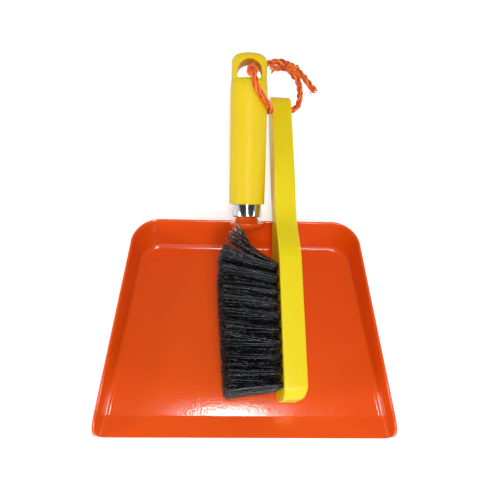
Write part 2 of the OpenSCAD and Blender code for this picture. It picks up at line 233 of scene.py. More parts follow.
def tubes(name: str, runs: Iterable[Sequence[tuple[Vector, float]]], radius: float,
          resolution: int = 0) -> Piece:
    """Makes one mesh of many thin round strands.

    Args:
        name: Name of the piece.
        runs: Strands, each a list of points with their share of the radius.
        radius: Full radius of a strand.
        resolution: Extra sides; 0 gives four.

    Returns:
        The mesh object, at the origin, with closed strands.
    """
    curve = bpy.data.curves.new(name + "_runs", "CURVE")
    curve.dimensions = "3D"
    curve.bevel_depth = radius
    curve.bevel_resolution = resolution
    curve.use_fill_caps = True
    for run in runs:
        spline = curve.splines.new("POLY")
        spline.points.add(len(run) - 1)
        spline.points.foreach_set("co", [x for p, _ in run for x in (*p, 1.0)])
        spline.points.foreach_set("radius", [share for _, share in run])
    holder = bpy.data.objects.new(name + "_runs", curve)
    bpy.context.scene.collection.objects.link(holder)
    graph = bpy.context.evaluated_depsgraph_get()
    mesh = bpy.data.meshes.new_from_object(holder.evaluated_get(graph))
    bpy.data.objects.remove(holder)
    bpy.data.curves.remove(curve)
    bm = bmesh.new()
    bm.from_mesh(mesh)
    bpy.data.meshes.remove(mesh)
    bmesh.ops.remove_doubles(bm, verts=bm.verts[:], dist=2e-6)
    return finish_mesh(name, bm, sharp=60.0)


def dress(piece: Piece, material: Material) -> None:
    """Gives a piece its only material."""
    piece.data.materials.clear()
    piece.data.materials.append(material)


# ------------------------------------------------------------------ node helpers


class NodeSheet:
    """Writes nodes into a material or a group with little ceremony."""

    def __init__(self, tree: Tree) -> None:
        """Starts on an existing node tree."""
        self.tree = tree
        self.column = 0

    def add(self, kind: str, values: dict[str | int, object] | None = None,
            **settings: object) -> Node:
        """Adds a node.

        Args:
            kind: Blender's name of the node type.
            values: Inputs by name or number, each a socket or a plain value.
            **settings: Node properties to set.

        Returns:
            The node.
        """
        node = self.tree.nodes.new(kind)
        node.location = (self.column * 200, 0)
        self.column += 1
        for name, value in settings.items():
            setattr(node, name, value)
        self.fill(node, values or {})
        return node

    def fill(self, node: Node, values: dict[str | int, object]) -> None:
        """Feeds a node's inputs, by name or number, from sockets or with plain values."""
        for name, value in values.items():
            socket = node.inputs[name]
            if isinstance(value, Socket):
                self.link(value, socket)
            elif socket.type == "RGBA" and len(value) == 3:
                socket.default_value = (*value, 1.0)
            else:
                socket.default_value = value

    def link(self, source: Socket, target: Socket) -> None:
        """Joins an output to an input."""
        self.tree.links.new(source, target)

    def maths(self, operation: str, a: object, b: object = 0.0, clamp: bool = False) -> Socket:
        """Adds a Math node.

        Args:
            operation: Name of the operation.
            a: First value or socket.
            b: Second value or socket.
            clamp: Whether the result stays between 0 and 1.

        Returns:
            The result socket.
        """
        node = self.add("ShaderNodeMath", {0: a, 1: b}, operation=operation, use_clamp=clamp)
        return node.outputs[0]

    def span(self, value: Socket, low: float, high: float, to_low: float = 0.0,
             to_high: float = 1.0) -> Socket:
        """Maps a value from one range to another, clamped.

        Args:
            value: Socket to map.
            low: Input at the low end.
            high: Input at the high end.
            to_low: Output at the low end.
            to_high: Output at the high end.

        Returns:
            The result socket.
        """
        node = self.add("ShaderNodeMapRange", {
            "Value": value, "From Min": low, "From Max": high, "To Min": to_low, "To Max": to_high})
        return node.outputs["Result"]

    def blend(self, share: object, first: object, second: object) -> Socket:
        """Mixes two colours.

        Args:
            share: Socket or value of how much of the second is used.
            first: Socket or colour.
            second: Socket or colour.

        Returns:
            The mixed colour socket.
        """
        node = self.add("ShaderNodeMix", {0: share, 6: first, 7: second}, data_type="RGBA")
        return node.outputs[2]

    def where(self) -> Socket:
        """Returns the place on the piece, in the piece's own frame."""
        return self.add("ShaderNodeTexCoord").outputs["Object"]

    def noise(self, size: object, detail: float, roughness: float) -> Socket:
        """Adds noise over the piece.

        Args:
            size: Socket or value of the pattern's size in metres.
            detail: Octaves of finer noise.
            roughness: Weight of the finer noise.

        Returns:
            The noise from 0 to 1.
        """
        node = self.add("ShaderNodeTexNoise", {
            "Vector": self.where(), "Scale": self.maths("DIVIDE", 1.0, size),
            "Detail": detail, "Roughness": roughness})
        return node.outputs["Fac"]


def new_group(name: str, inputs: dict[str, float],
              output: str) -> tuple[Tree, NodeSheet, Node, Node]:
    """Starts a shader node group.

    Args:
        name: Name of the group.
        inputs: Float inputs with their defaults.
        output: Name of the float output.

    Returns:
        The tree, its sheet, its input node and its output node.
    """
    tree = bpy.data.node_groups.new(name, "ShaderNodeTree")
    for key, value in inputs.items():
        socket = tree.interface.new_socket(key, in_out="INPUT", socket_type="NodeSocketFloat")
        socket.default_value = value
    tree.interface.new_socket(output, in_out="OUTPUT", socket_type="NodeSocketFloat")
    sheet = NodeSheet(tree)
    return tree, sheet, sheet.add("NodeGroupInput"), sheet.add("NodeGroupOutput")


class Effects:
    """Surface effects that several finishes share, each a node group built once."""

    def __init__(self) -> None:
        """Builds all the groups."""
        self.grain = self._grain()
        self.mottle = self._mottle()
        self.scuffs = self._scuffs()
        self.edge_wear = self._edge_wear()

    def _grain(self) -> Tree:
        """Builds the fine waviness of a sprayed or moulded skin."""
        tree, sheet, ends, out = new_group(
            "skin_grain", {"Size": 0.0016, "Detail Size": 0.0005, "Detail": 0.25}, "Height")
        coarse = sheet.noise(ends.outputs["Size"], 1.0, 0.4)
        fine = sheet.noise(ends.outputs["Detail Size"], 1.0, 0.5)
        small = sheet.maths("MULTIPLY", fine, ends.outputs["Detail"])
        sheet.link(sheet.maths("ADD", coarse, small), out.inputs["Height"])
        return tree

    def _mottle(self) -> Tree:
        """Builds slow variation over a surface."""
        tree, sheet, ends, out = new_group("mottle", {"Size": 0.04, "Contrast": 0.5}, "Amount")
        centred = sheet.maths("SUBTRACT", sheet.noise(ends.outputs["Size"], 4.0, 0.55), 0.5)
        spread = sheet.maths("MULTIPLY", centred, ends.outputs["Contrast"])
        sheet.link(sheet.maths("ADD", spread, 0.5, clamp=True), out.inputs["Amount"])
        return tree

    def _scuffs(self) -> Tree:
        """Builds sparse hairline scratches in two directions."""
        tree, sheet, ends, out = new_group(
            "hairline_scuffs", {"Pitch": 0.012, "Cover": 0.3}, "Amount")
        where = sheet.where()
        often = sheet.maths("DIVIDE", 1.0, ends.outputs["Pitch"])
        marks = []
        for turn, seed in ((0.35, 3.0), (1.9, 11.0)):
            place = sheet.add("ShaderNodeMapping", {
                "Vector": where, "Location": (seed, seed * 0.7, seed * 0.3),
                "Rotation": (0.2, 0.1, turn), "Scale": (1.0, 0.06, 1.0)})
            cells = sheet.add("ShaderNodeTexVoronoi", feature="DISTANCE_TO_EDGE")
            sheet.fill(cells, {"Vector": place.outputs["Vector"], "Scale": often})
            marks.append(sheet.span(cells.outputs["Distance"], 0.0, 0.006, 1.0, 0.0))
        patch = sheet.add("ShaderNodeTexNoise", {"Vector": where, "Scale": 45.0, "Detail": 2.0})
        bare = sheet.maths("SUBTRACT", 1.0, ends.outputs["Cover"])
        shown = sheet.maths("GREATER_THAN", patch.outputs["Fac"], bare)
        both = sheet.maths("MAXIMUM", marks[0], marks[1])
        sheet.link(sheet.maths("MULTIPLY", both, shown), out.inputs["Amount"])
        return tree

    def _edge_wear(self) -> Tree:
        """Builds a broken mask along outer edges."""
        tree, sheet, ends, out = new_group(
            "edge_wear", {"Radius": 0.0008, "Break Up": 0.5, "Size": 0.003}, "Mask")
        rounded = sheet.add("ShaderNodeBevel", {"Radius": ends.outputs["Radius"]}, samples=4)
        turn = sheet.add("ShaderNodeVectorMath", {
            0: rounded.outputs["Normal"],
            1: sheet.add("ShaderNodeNewGeometry").outputs["True Normal"]},
                         operation="DOT_PRODUCT")
        edge = sheet.span(turn.outputs["Value"], 0.995, 0.90)
        noise = sheet.noise(ends.outputs["Size"], 3.0, 0.6)
        gate = sheet.maths("SUBTRACT", noise, ends.outputs["Break Up"])
        broken = sheet.maths("MULTIPLY", sheet.maths("ADD", gate, 0.5, clamp=True), edge)
        sheet.link(broken, out.inputs["Mask"])
        return tree


@dataclass(frozen=True)
class Finish:
    """What every finish has: a name, and the shared effects that it places."""

    name: str
    effects: Effects

    def _start(self) -> tuple[Material, NodeSheet, Node]:
        """Returns a new material with its sheet and its Principled BSDF."""
        material = bpy.data.materials.new(self.name)
        material.use_nodes = True
        tree = material.node_tree
        shader = next(n for n in tree.nodes if n.type == "BSDF_PRINCIPLED")
        return material, NodeSheet(tree), shader

    def _effect(self, sheet: NodeSheet, tree: Tree,
                **values: float) -> Node:
        """Places a shared effect.

        Args:
            sheet: Sheet of the material.
            tree: The effect's group.
            **values: Inputs by name, with _ for a space.

        Returns:
            The group node.
        """
        node = sheet.add("ShaderNodeGroup", node_tree=tree)
        sheet.fill(node, {name.replace("_", " "): value for name, value in values.items()})
        return node

    def _bump(self, sheet: NodeSheet, shader: Node, height: Socket,
              depth: float, strength: float = 1.0, coat: bool = False) -> None:
        """Raises the surface by a height pattern.

        Args:
            sheet: Sheet of the material.
            shader: The Principled BSDF.
            height: Pattern from 0 to 1.
            depth: Height of the pattern in metres.
            strength: Strength of the Bump node.
            coat: Whether the clear coat follows the pattern too.
        """
        bump = sheet.add("ShaderNodeBump", {
            "Height": height, "Strength": strength, "Distance": depth})
        sheet.link(bump.outputs["Normal"], shader.inputs["Normal"])
        if coat:
            sheet.link(bump.outputs["Normal"], shader.inputs["Coat Normal"])


@dataclass(frozen=True)
class Paint(Finish):
    """Glossy stoved paint on sheet steel, with a fine orange peel.

    Attributes:
        evenness: Share of the plain colour over the slow variation.
        wear: How far rubbed edges turn to the worn colour.
        scuffing: Roughness that the hairline scratches add.
        peel_depth: Height of the orange peel.
        fall_from: Y at which the floor starts to dip towards the ramp strip.
        fall_to: Y at which the dip is deepest.
        fall_depth: Depth of the dip.
    """

    color: Color = (0.79, 0.086, 0.0045)
    deep: Color = (0.68, 0.056, 0.004)
    evenness: float = 0.72
    worn_and_glint: Color = (0.55, 0.13, 0.06)
    wear: float = 0.5
    scuffing: float = 0.12
    roughness: float = 0.15
    ior: float = 1.5
    coat: float = 0.6
    coat_roughness: float = 0.035
    peel_depth: float = 0.00010
    fall_from: float = -0.030
    fall_to: float = -0.075
    fall_depth: float = 0.0045

    def build(self) -> Material:
        """Returns the material."""
        material, sheet, shader = self._start()
        mottle = self._effect(sheet, self.effects.mottle, Size=0.06, Contrast=0.9)
        body = sheet.blend(mottle.outputs["Amount"], self.deep, self.color)
        body = sheet.blend(self.evenness, body, self.color)
        wear = self._effect(sheet, self.effects.edge_wear, Radius=0.0006, Break_Up=0.62, Size=0.004)
        scuff = self._effect(sheet, self.effects.scuffs, Pitch=0.016, Cover=0.42)
        marked = sheet.maths("MULTIPLY", wear.outputs["Mask"], self.wear)
        dull = sheet.maths("MULTIPLY", scuff.outputs["Amount"], self.scuffing)
        rough = sheet.span(
            mottle.outputs["Amount"], 0.2, 0.8, self.roughness - 0.03, self.roughness + 0.04)
        sheet.fill(shader, {
            "Base Color": sheet.blend(marked, body, self.worn_and_glint),
            "Roughness": sheet.maths("ADD", dull, rough), "IOR": self.ior,
            "Coat Weight": self.coat, "Coat Roughness": self.coat_roughness})
        grain = self._effect(sheet, self.effects.grain, Size=0.0018, Detail_Size=0.0007, Detail=0.3)
        peel = sheet.maths("MULTIPLY", grain.outputs["Height"], self.peel_depth)
        height = sheet.maths("SUBTRACT", peel, self._fall(sheet))
        self._bump(sheet, shader, height, 1.0, coat=True)
        return material

    def _fall(self, sheet: NodeSheet) -> Socket:
        """Adds the soft dip that the press leaves in the sheet before the ramp strip.

        Args:
            sheet: Sheet of the material.

        Returns:
            The dip's depth in metres.
        """
        parts = sheet.add("ShaderNodeSeparateXYZ", {0: sheet.where()})
        share = sheet.span(parts.outputs["Y"], self.fall_from, self.fall_to)
        return sheet.maths("MULTIPLY", sheet.maths("MULTIPLY", share, share), self.fall_depth)


@dataclass(frozen=True)
class Chrome(Finish):
    """Bright plated steel with faint turning lines and dull spots.

    Attributes:
        polish: Least roughness of the plate.
        haze: Greatest roughness of the plate.
        scuffing: Roughness that the hairline scratches add.
        line_depth: Height of the turning lines.
    """

    color: Color = (0.62, 0.62, 0.63)
    dull: Color = (0.52, 0.51, 0.50)
    polish: float = 0.09
    haze: float = 0.18
    scuffing: float = 0.1
    line_depth: float = 0.00001

    def build(self) -> Material:
        """Returns the material."""
        material, sheet, shader = self._start()
        mottle = self._effect(sheet, self.effects.mottle, Size=0.006, Contrast=1.2)
        scuff = self._effect(sheet, self.effects.scuffs, Pitch=0.006, Cover=0.5)
        spots = sheet.span(mottle.outputs["Amount"], 0.3, 0.8, self.polish, self.haze)
        marks = sheet.maths("MULTIPLY", scuff.outputs["Amount"], self.scuffing)
        sheet.fill(shader, {
            "Base Color": sheet.blend(mottle.outputs["Amount"], self.dull, self.color),
            "Metallic": 1.0, "Roughness": sheet.maths("ADD", spots, marks)})
        grain = self._effect(sheet, self.effects.grain, Size=0.003, Detail_Size=0.0008, Detail=0.2)
        self._bump(sheet, shader, grain.outputs["Height"], self.line_depth, 0.5)
        return material


@dataclass(frozen=True)
class Plastic(Finish):
    """Smooth moulded plastic with some light under its skin, and an orange painted shade in its
    hollows.

    Attributes:
        evenness: Share of the plain colour over the slow variation.
        rubbed: Colour of rubbed edges.
        rubbing: How far rubbed edges turn to it.
        scuffing: Roughness that the hairline scratches add.
        gloss: Specular level of the open surface.
        hollow_gloss: Specular level deep in a hollow.
        glow: Share of light that enters the plastic.
        glow_depth: How deep it goes.
        glow_spread: Share of that depth for red, green and blue.
        hollow: Colour of the painted shade deep in a hollow, an orange that stands in for bounced
            light.
        hollow_reach: Distance within which a wall makes a place a hollow.
        painted_shade_tint: How far the painted shade turns a deep hollow to that colour.
    """

    color: Color = (0.77, 0.575, 0.006)
    shade: Color = (0.75, 0.47, 0.005)
    evenness: float = 0.65
    rubbed: Color = (0.9, 0.75, 0.25)
    rubbing: float = 0.25
    scuffing: float = 0.15
    roughness: float = 0.44
    ior: float = 1.42
    gloss: float = 0.38
    hollow_gloss: float = 0.06
    glow: float = 0.5
    glow_depth: float = 0.012
    glow_spread: Color = (1.0, 0.45, 0.12)
    hollow: Color = (0.98, 0.52, 0.004)
    hollow_reach: float = 0.016
    painted_shade_tint: float = 0.85
    grain_size: float = 0.0012
    grain_depth: float = 0.00003

    def build(self) -> Material:
        """Returns the material."""
        material, sheet, shader = self._start()
        mottle = self._effect(sheet, self.effects.mottle, Size=0.03, Contrast=0.8)
        body = sheet.blend(mottle.outputs["Amount"], self.shade, self.color)
        body = sheet.blend(self.evenness, body, self.color)
        wear = self._effect(sheet, self.effects.edge_wear, Radius=0.0007, Break_Up=0.45, Size=0.002)
        # Painted shade: the occlusion mask turns hollows orange in place of the light bounced into
        # them; the same mask raises the glow and lowers the gloss there.
        nearby = sheet.add("ShaderNodeAmbientOcclusion", {"Distance": self.hollow_reach}, samples=8)
        closed = sheet.span(nearby.outputs["AO"], 0.85, 0.25, 0.0, self.painted_shade_tint)
        body = sheet.blend(closed, body, self.hollow)
        pale = sheet.maths("MULTIPLY", wear.outputs["Mask"], self.rubbing)
        scuff = self._effect(sheet, self.effects.scuffs, Pitch=0.01, Cover=0.4)
        marks = sheet.maths("MULTIPLY", scuff.outputs["Amount"], self.scuffing)
        rough = sheet.span(
            mottle.outputs["Amount"], 0.2, 0.8, self.roughness - 0.04, self.roughness + 0.06)
        sheet.fill(shader, {
            "Base Color": sheet.blend(pale, body, self.rubbed),
            "Roughness": sheet.maths("ADD", marks, rough), "IOR": self.ior,
            "Subsurface Weight": sheet.span(nearby.outputs["AO"], 0.85, 0.25, self.glow, 1.0),
            "Subsurface Radius": self.glow_spread, "Subsurface Scale": self.glow_depth,
            "Specular IOR Level": sheet.span(
                nearby.outputs["AO"], 0.85, 0.35, self.gloss, self.hollow_gloss)})
        grain = self._effect(sheet, self.effects.grain, Size=self.grain_size,
                             Detail_Size=0.0004, Detail=0.4)
        self._bump(sheet, shader, grain.outputs["Height"], self.grain_depth, 0.5)
        return material


@dataclass(frozen=True)
class Bristle(Finish):
    """Black extruded filament, each one a little different, with painted glints.

    Attributes:
        dusty: Colour of the palest filaments.
        flat: Colour of the painted glints, streaks where a filament's flat side would catch light.
        streaks_per_metre: How often the streaks come along X, Y and Z.
    """

    color: Color = (0.005, 0.005, 0.0062)
    dusty: Color = (0.024, 0.024, 0.024)
    flat: Color = (0.13, 0.145, 0.175)
    streaks_per_metre: tuple[float, float, float] = (240.0, 1100.0, 1100.0)
    smoothest: float = 0.10
    roughest: float = 0.24
    ior: float = 1.55
    coat: float = 0.6
    coat_roughness: float = 0.07

    def build(self) -> Material:
        """Returns the material."""
        material, sheet, shader = self._start()
        each = sheet.add("ShaderNodeNewGeometry").outputs["Random Per Island"]
        mottle = self._effect(sheet, self.effects.mottle, Size=0.002, Contrast=1.4)
        pale = sheet.maths("MULTIPLY", sheet.span(each, 0.55, 1.0), mottle.outputs["Amount"])
        body = sheet.blend(pale, self.color, self.dusty)
        # Painted glints: pale bluish streaks along a few filaments, laid into the base colour where
        # their sides would catch light.
        drawn = sheet.add("ShaderNodeVectorMath", {0: sheet.where(), 1: self.streaks_per_metre},
                          operation="MULTIPLY")
        streak = sheet.add("ShaderNodeTexNoise", {
            "Vector": drawn.outputs[0], "Scale": 1.0, "Detail": 1.0})
        worn_and_glint = sheet.maths("MULTIPLY", sheet.span(each, 0.74, 0.86),
                           sheet.span(streak.outputs["Fac"], 0.52, 0.62))
        sheet.fill(shader, {
            "Base Color": sheet.blend(worn_and_glint, body, self.flat),
            "Roughness": sheet.span(each, 0.0, 1.0, self.smoothest, self.roughest),
            "IOR": self.ior, "Coat Weight": self.coat, "Coat Roughness": self.coat_roughness})
        return material


@dataclass(frozen=True)
class Rope(Finish):
    """Laid orange fibre, with each yarn its own shade between the dark and the bright one."""

    bright: Color = (1.0, 0.29, 0.012)
    dark: Color = (0.66, 0.045, 0.009)
    roughness: float = 0.55
    sheen: float = 0.25
    sheen_roughness: float = 0.4
    fibre_depth: float = 0.00015

    def build(self) -> Material:
        """Returns the material."""
        material, sheet, shader = self._start()
        each = sheet.add("ShaderNodeNewGeometry").outputs["Random Per Island"]
        mottle = self._effect(sheet, self.effects.mottle, Size=0.003, Contrast=1.6)
        yarn = sheet.span(each, 0.2, 0.8, 0.0, 0.75)
        mixed = sheet.maths("ADD", yarn, sheet.span(
            mottle.outputs["Amount"], 0.2, 0.9, -0.1, 0.35), clamp=True)
        sheet.fill(shader, {
            "Base Color": sheet.blend(mixed, self.dark, self.bright), "Roughness": self.roughness,
            "Sheen Weight": self.sheen, "Sheen Roughness": self.sheen_roughness})
        grain = self._effect(sheet, self.effects.grain, Size=0.0005, Detail_Size=0.0002, Detail=0.5)
        self._bump(sheet, shader, grain.outputs["Height"], self.fibre_depth, 0.8)
        return material


@dataclass(frozen=True)
class Wire(Finish):
    """Drawn steel wire of the anchor staples."""

    color: Color = (0.62, 0.62, 0.64)
    dull: Color = (0.42, 0.42, 0.43)
    smoothest: float = 0.28
    roughest: float = 0.45

    def build(self) -> Material:
        """Returns the material."""
        material, sheet, shader = self._start()
        mottle = self._effect(sheet, self.effects.mottle, Size=0.001, Contrast=1.0)
        amount = mottle.outputs["Amount"]
        sheet.fill(shader, {
            "Base Color": sheet.blend(amount, self.dull, self.color), "Metallic": 1.0,
            "Roughness": sheet.span(amount, 0.0, 1.0, self.smoothest, self.roughest)})
        return material


# ------------------------------------------------------------------ dust pan


@dataclass
class DustPan:
    """Drawn steel tray with leaning walls and a folded hem, and the neck for the handle.

    Leans and angles are in degrees, and a place on the handle is measured up its axis.

    Attributes:
        fold_gap: Gap inside the hem.
        foot_d: Width across the neck's foot, which stands through the back wall.
        foot_dome: Depth of the foot's domed end.
        foot_edge: Place of the foot's rim on the handle's axis.
        foot_lip: Radius of that rim.
        flare_end: Place where the flare has run into the tube.
        neck_floor: Place of the closed end inside the tube.
        neck_end: Place of the tube's upper end, inside the grip.
    """

    mouth_w: float = 0.252
    back_w: float = 0.204
    depth: float = 0.188
    mouth_h: float = 0.021
    back_h: float = 0.037
    side_lean: float = 6.5
    back_lean: float = 14.0
    corner_r: float = 0.019
    foot_r: float = 0.005
    nose_r: float = 0.010
    sheet_t: float = 0.001
    hem_h: float = 0.005
    fold_gap: float = 0.0003
    ramp_depth: float = 0.019
    ramp_rise: float = 0.0012
    handle_angle: float = 33.0
    neck_d: float = 0.0205
    foot_d: float = 0.035
    foot_dome: float = 0.008
    foot_edge: float = -0.0015
    foot_lip: float = 0.0004
    flare_end: float = 0.0062
    neck_wall: float = 0.0012
    neck_floor: float = 0.02
    neck_end: float = 0.0775
    corner_steps: int = 20
    bend_steps: int = 8

    def __post_init__(self) -> None:
        """Works out the tray's corners from its sizes."""
        self.taper = math.atan((self.mouth_w - self.back_w) / 2 / self.depth)
        self.half_depth = self.depth / 2
        self.corner_y = self.half_depth - self.corner_r
        reach = self.corner_r + (self.corner_y + self.half_depth) * math.sin(self.taper)
        self.corner_x = self.mouth_w / 2 - reach / math.cos(self.taper)
        self.fold_r = self.fold_gap + self.sheet_t
        lean = math.radians(self.back_lean)
        self.rim_y = self.half_depth + self.back_h * math.tan(lean)
        self.fold_y = (self.half_depth + self._climb(self.back_h, lean) * math.sin(lean)
                       + self.fold_r * math.cos(lean))
        self.fold_z = self.back_h - self.fold_r

    def on_handle(self, along: float = 0.0) -> Matrix:
        """Returns the placing of a piece that sits a length along the handle's axis."""
        foot = Vector((0.0, self.rim_y, self.back_h - self.sheet_t / 2))
        turn = Matrix.Rotation(math.radians(self.handle_angle - 90), 4, "X")
        return Matrix.Translation(foot) @ turn @ Matrix.Translation((0, 0, along))

    def _stations(self) -> list[tuple[float, float, float, float]]:
        """Lists the feet of the wall's sections.

        Returns:
            x, y, the wall's facing and the section's direction in radians, from the right
            mouth corner round the back to the left one.
        """
        near = [self.nose_r * (k / 10) ** 1.6 for k in range(11)]
        ramp = [lerp(self.nose_r, self.ramp_depth, k / 3) for k in range(1, 4)]
        side_end = self.corner_y + self.half_depth + self.corner_r * math.sin(self.taper)
        along = [lerp(self.ramp_depth, side_end, k / 14) for k in range(1, 14)]
        side = [(self.mouth_w / 2 - d * math.tan(self.taper), d - self.half_depth, self.taper, 0.0)
                for d in near + ramp + along]
        corner = []
        for k in range(self.corner_steps + 1):
            facing = lerp(self.taper, math.pi / 2, k / self.corner_steps)
            corner.append((self.corner_x + self.corner_r * math.cos(facing),
                           self.corner_y + self.corner_r * math.sin(facing), facing, facing))
        back = [(self.corner_x * (1 - k / 12), self.half_depth, math.pi / 2, math.pi / 2)
                for k in range(1, 13)]
        right = side + corner + back
        left = [(-x, y, math.pi - f, math.pi - d) for x, y, f, d in reversed(right[:-1])]
        return right + left

    def _lean(self, facing: float) -> float:
        """Returns the wall's outward lean in radians where it faces that way."""
        turned = math.pi - facing if facing > math.pi / 2 else facing
        share = (turned - self.taper) / (math.pi / 2 - self.taper)
        return math.radians(lerp(self.side_lean, self.back_lean, share))

    def _ramp_z(self, y: float) -> float:
        """Returns the ramp strip's rise at y."""
        return self.ramp_rise * max(0.0, 1 - (y + self.half_depth) / self.ramp_depth)

    def _rim_z(self, y: float) -> float:
        """Returns the rim's height at y, with the rounded front corner."""
        inward = y + self.half_depth
        drop = 0.0
        if inward < self.nose_r:
            drop = self.nose_r - math.sqrt(self.nose_r**2 - (self.nose_r - inward) ** 2)
        return lerp(self.mouth_h, self.back_h, inward / self.depth) - drop

    def _climb(self, rim: float, lean: float) -> float:
        """Returns the length of the wall's slope up to its hem."""
        return (rim - self.sheet_t - self.fold_r * (1 - math.sin(lean))) / math.cos(lean)

    def _section(self, rim: float, lean: float) -> list[tuple[float, float]]:
        """Lists the wall's upper surface from the floor over the hem.

        Args:
            rim: Height of the rim above flat ground.
            lean: Outward lean in radians.

        Returns:
            Points as (distance outwards from the foot, height).
        """
        turn = math.pi / 2 - lean
        out = Vector((math.cos(lean), -math.sin(lean)))
        up = Vector((math.sin(lean), math.cos(lean)))
        tangent = self.foot_r * math.tan(turn / 2)
        bend = Vector((-tangent, self.sheet_t + self.foot_r))
        foot = Vector((0.0, self.sheet_t))
        points = []
        for k in range(self.bend_steps + 1):
            a = turn * k / self.bend_steps
            points.append(bend + self.foot_r * Vector((math.sin(a), -math.cos(a))))
        start = points[-1]
        top = foot + self._climb(rim, lean) * up
        points += [start.lerp(top, share) for share in (0.25, 0.5, 0.75, 0.94)]
        fold = top + self.fold_r * out
        for k in range(self.bend_steps + 1):
            a = math.pi * k / self.bend_steps
            points.append(fold + self.fold_r * (math.sin(a) * up - math.cos(a) * out))
        points += [points[-1] - self.hem_h * share * up for share in (0.5, 1.0)]
        return [(p.x, p.y) for p in points]

    def _form(self, bm: Form) -> None:
        """Presses a flat grid into the wall strip, then lays the floor inside it."""
        stations = self._stations()
        count = len(stations)
        steps = len(self._section(self.mouth_h, 0.1))
        bmesh.ops.create_grid(bm, x_segments=count - 1, y_segments=steps - 1, size=1.0)
        rows = {}
        for i, (x, y, facing, direction) in enumerate(stations):
            rise = self._ramp_z(y)
            points = self._section(self._rim_z(y) - rise, self._lean(facing))
            for j, (across, height) in enumerate(points):
                reach = across / math.cos(facing - direction)
                rows[i, j] = Vector((x + reach * math.cos(direction),
                                     y + reach * math.sin(direction), height + rise))
        inner = {}
        for vert in bm.verts:
            i = round((vert.co.x + 1) / 2 * (count - 1))
            j = round((vert.co.y + 1) / 2 * (steps - 1))
            vert.co = rows[i, j]
            if j == 0:
                inner[i] = vert
        ramp_at = next(i for i, s in enumerate(stations)
                       if s[1] + self.half_depth >= self.ramp_depth - 1e-6)
        mirrored = count - 1 - ramp_at
        floor = [inner[i] for i in range(ramp_at, mirrored + 1)]
        ramp = [inner[i] for i in range(ramp_at, -1, -1)]
        ramp += [inner[i] for i in range(count - 1, mirrored - 1, -1)]
        for loop in (floor, ramp):
            bmesh.ops.contextual_create(bm, geom=loop)
        bmesh.ops.recalc_face_normals(bm, faces=bm.faces[:])
        if sum(f.normal.z * f.calc_area() for f in bm.faces) < 0:
            bmesh.ops.reverse_faces(bm, faces=bm.faces[:])

    def build_tray(self, paint: Material) -> Piece:
        """Builds the pan's pressed sheet.

        Args:
            paint: Its finish.

        Returns:
            The tray.
        """
        bm = bmesh.new()
        self._form(bm)
        tray = finish_mesh("pan_sheet", bm, sharp=60.0)
        wall = tray.modifiers.new("sheet", "SOLIDIFY")
        wall.thickness = self.sheet_t
        wall.offset = -1.0
        wall.use_even_offset = True
        wall.use_quality_normals = True
        apply_modifiers(tray)
        add_bevel(tray, 0.0003, 2, angle=55.0)
        add_weighted_normals(tray)
        dress(tray, paint)
        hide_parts("pan_tray")
        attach(tray, Body.PAN.value)
        return tray

    def build_neck(self, paint: Material) -> Piece:
        """Builds the tube that carries the handle, with its flared and domed foot.

        Args:
            paint: Its finish.

        Returns:
            The neck.
        """
        foot = self.foot_d / 2
        neck = self.neck_d / 2
        rim = foot - self.foot_lip
        profile = [(rim * math.sin(a), self.foot_edge - self.foot_dome * math.cos(a))
                   for a in (math.pi / 2 * k / 16 for k in range(16))]
        profile += arc((rim, self.foot_edge + self.foot_lip), self.foot_lip, -90, 60, 6)
        low = profile[-1]
        profile += [(lerp(low[0], neck, 1 - (1 - f) ** 2.4), lerp(low[1], self.flare_end, f))
                    for f in (k / 14 for k in range(1, 15))]
        bore = neck - self.neck_wall
        profile += [(neck, self.neck_end), (bore, self.neck_end), (bore, self.neck_floor),
                    (0.0, self.neck_floor)]
        piece = finish_mesh("neck_tube", revolved(profile, self.on_handle()), sharp=50.0)
        add_weighted_normals(piece)
        dress(piece, paint)
        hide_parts("neck_socket")
        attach(piece, Body.PAN.value)
        return piece


# ------------------------------------------------------------------ handle


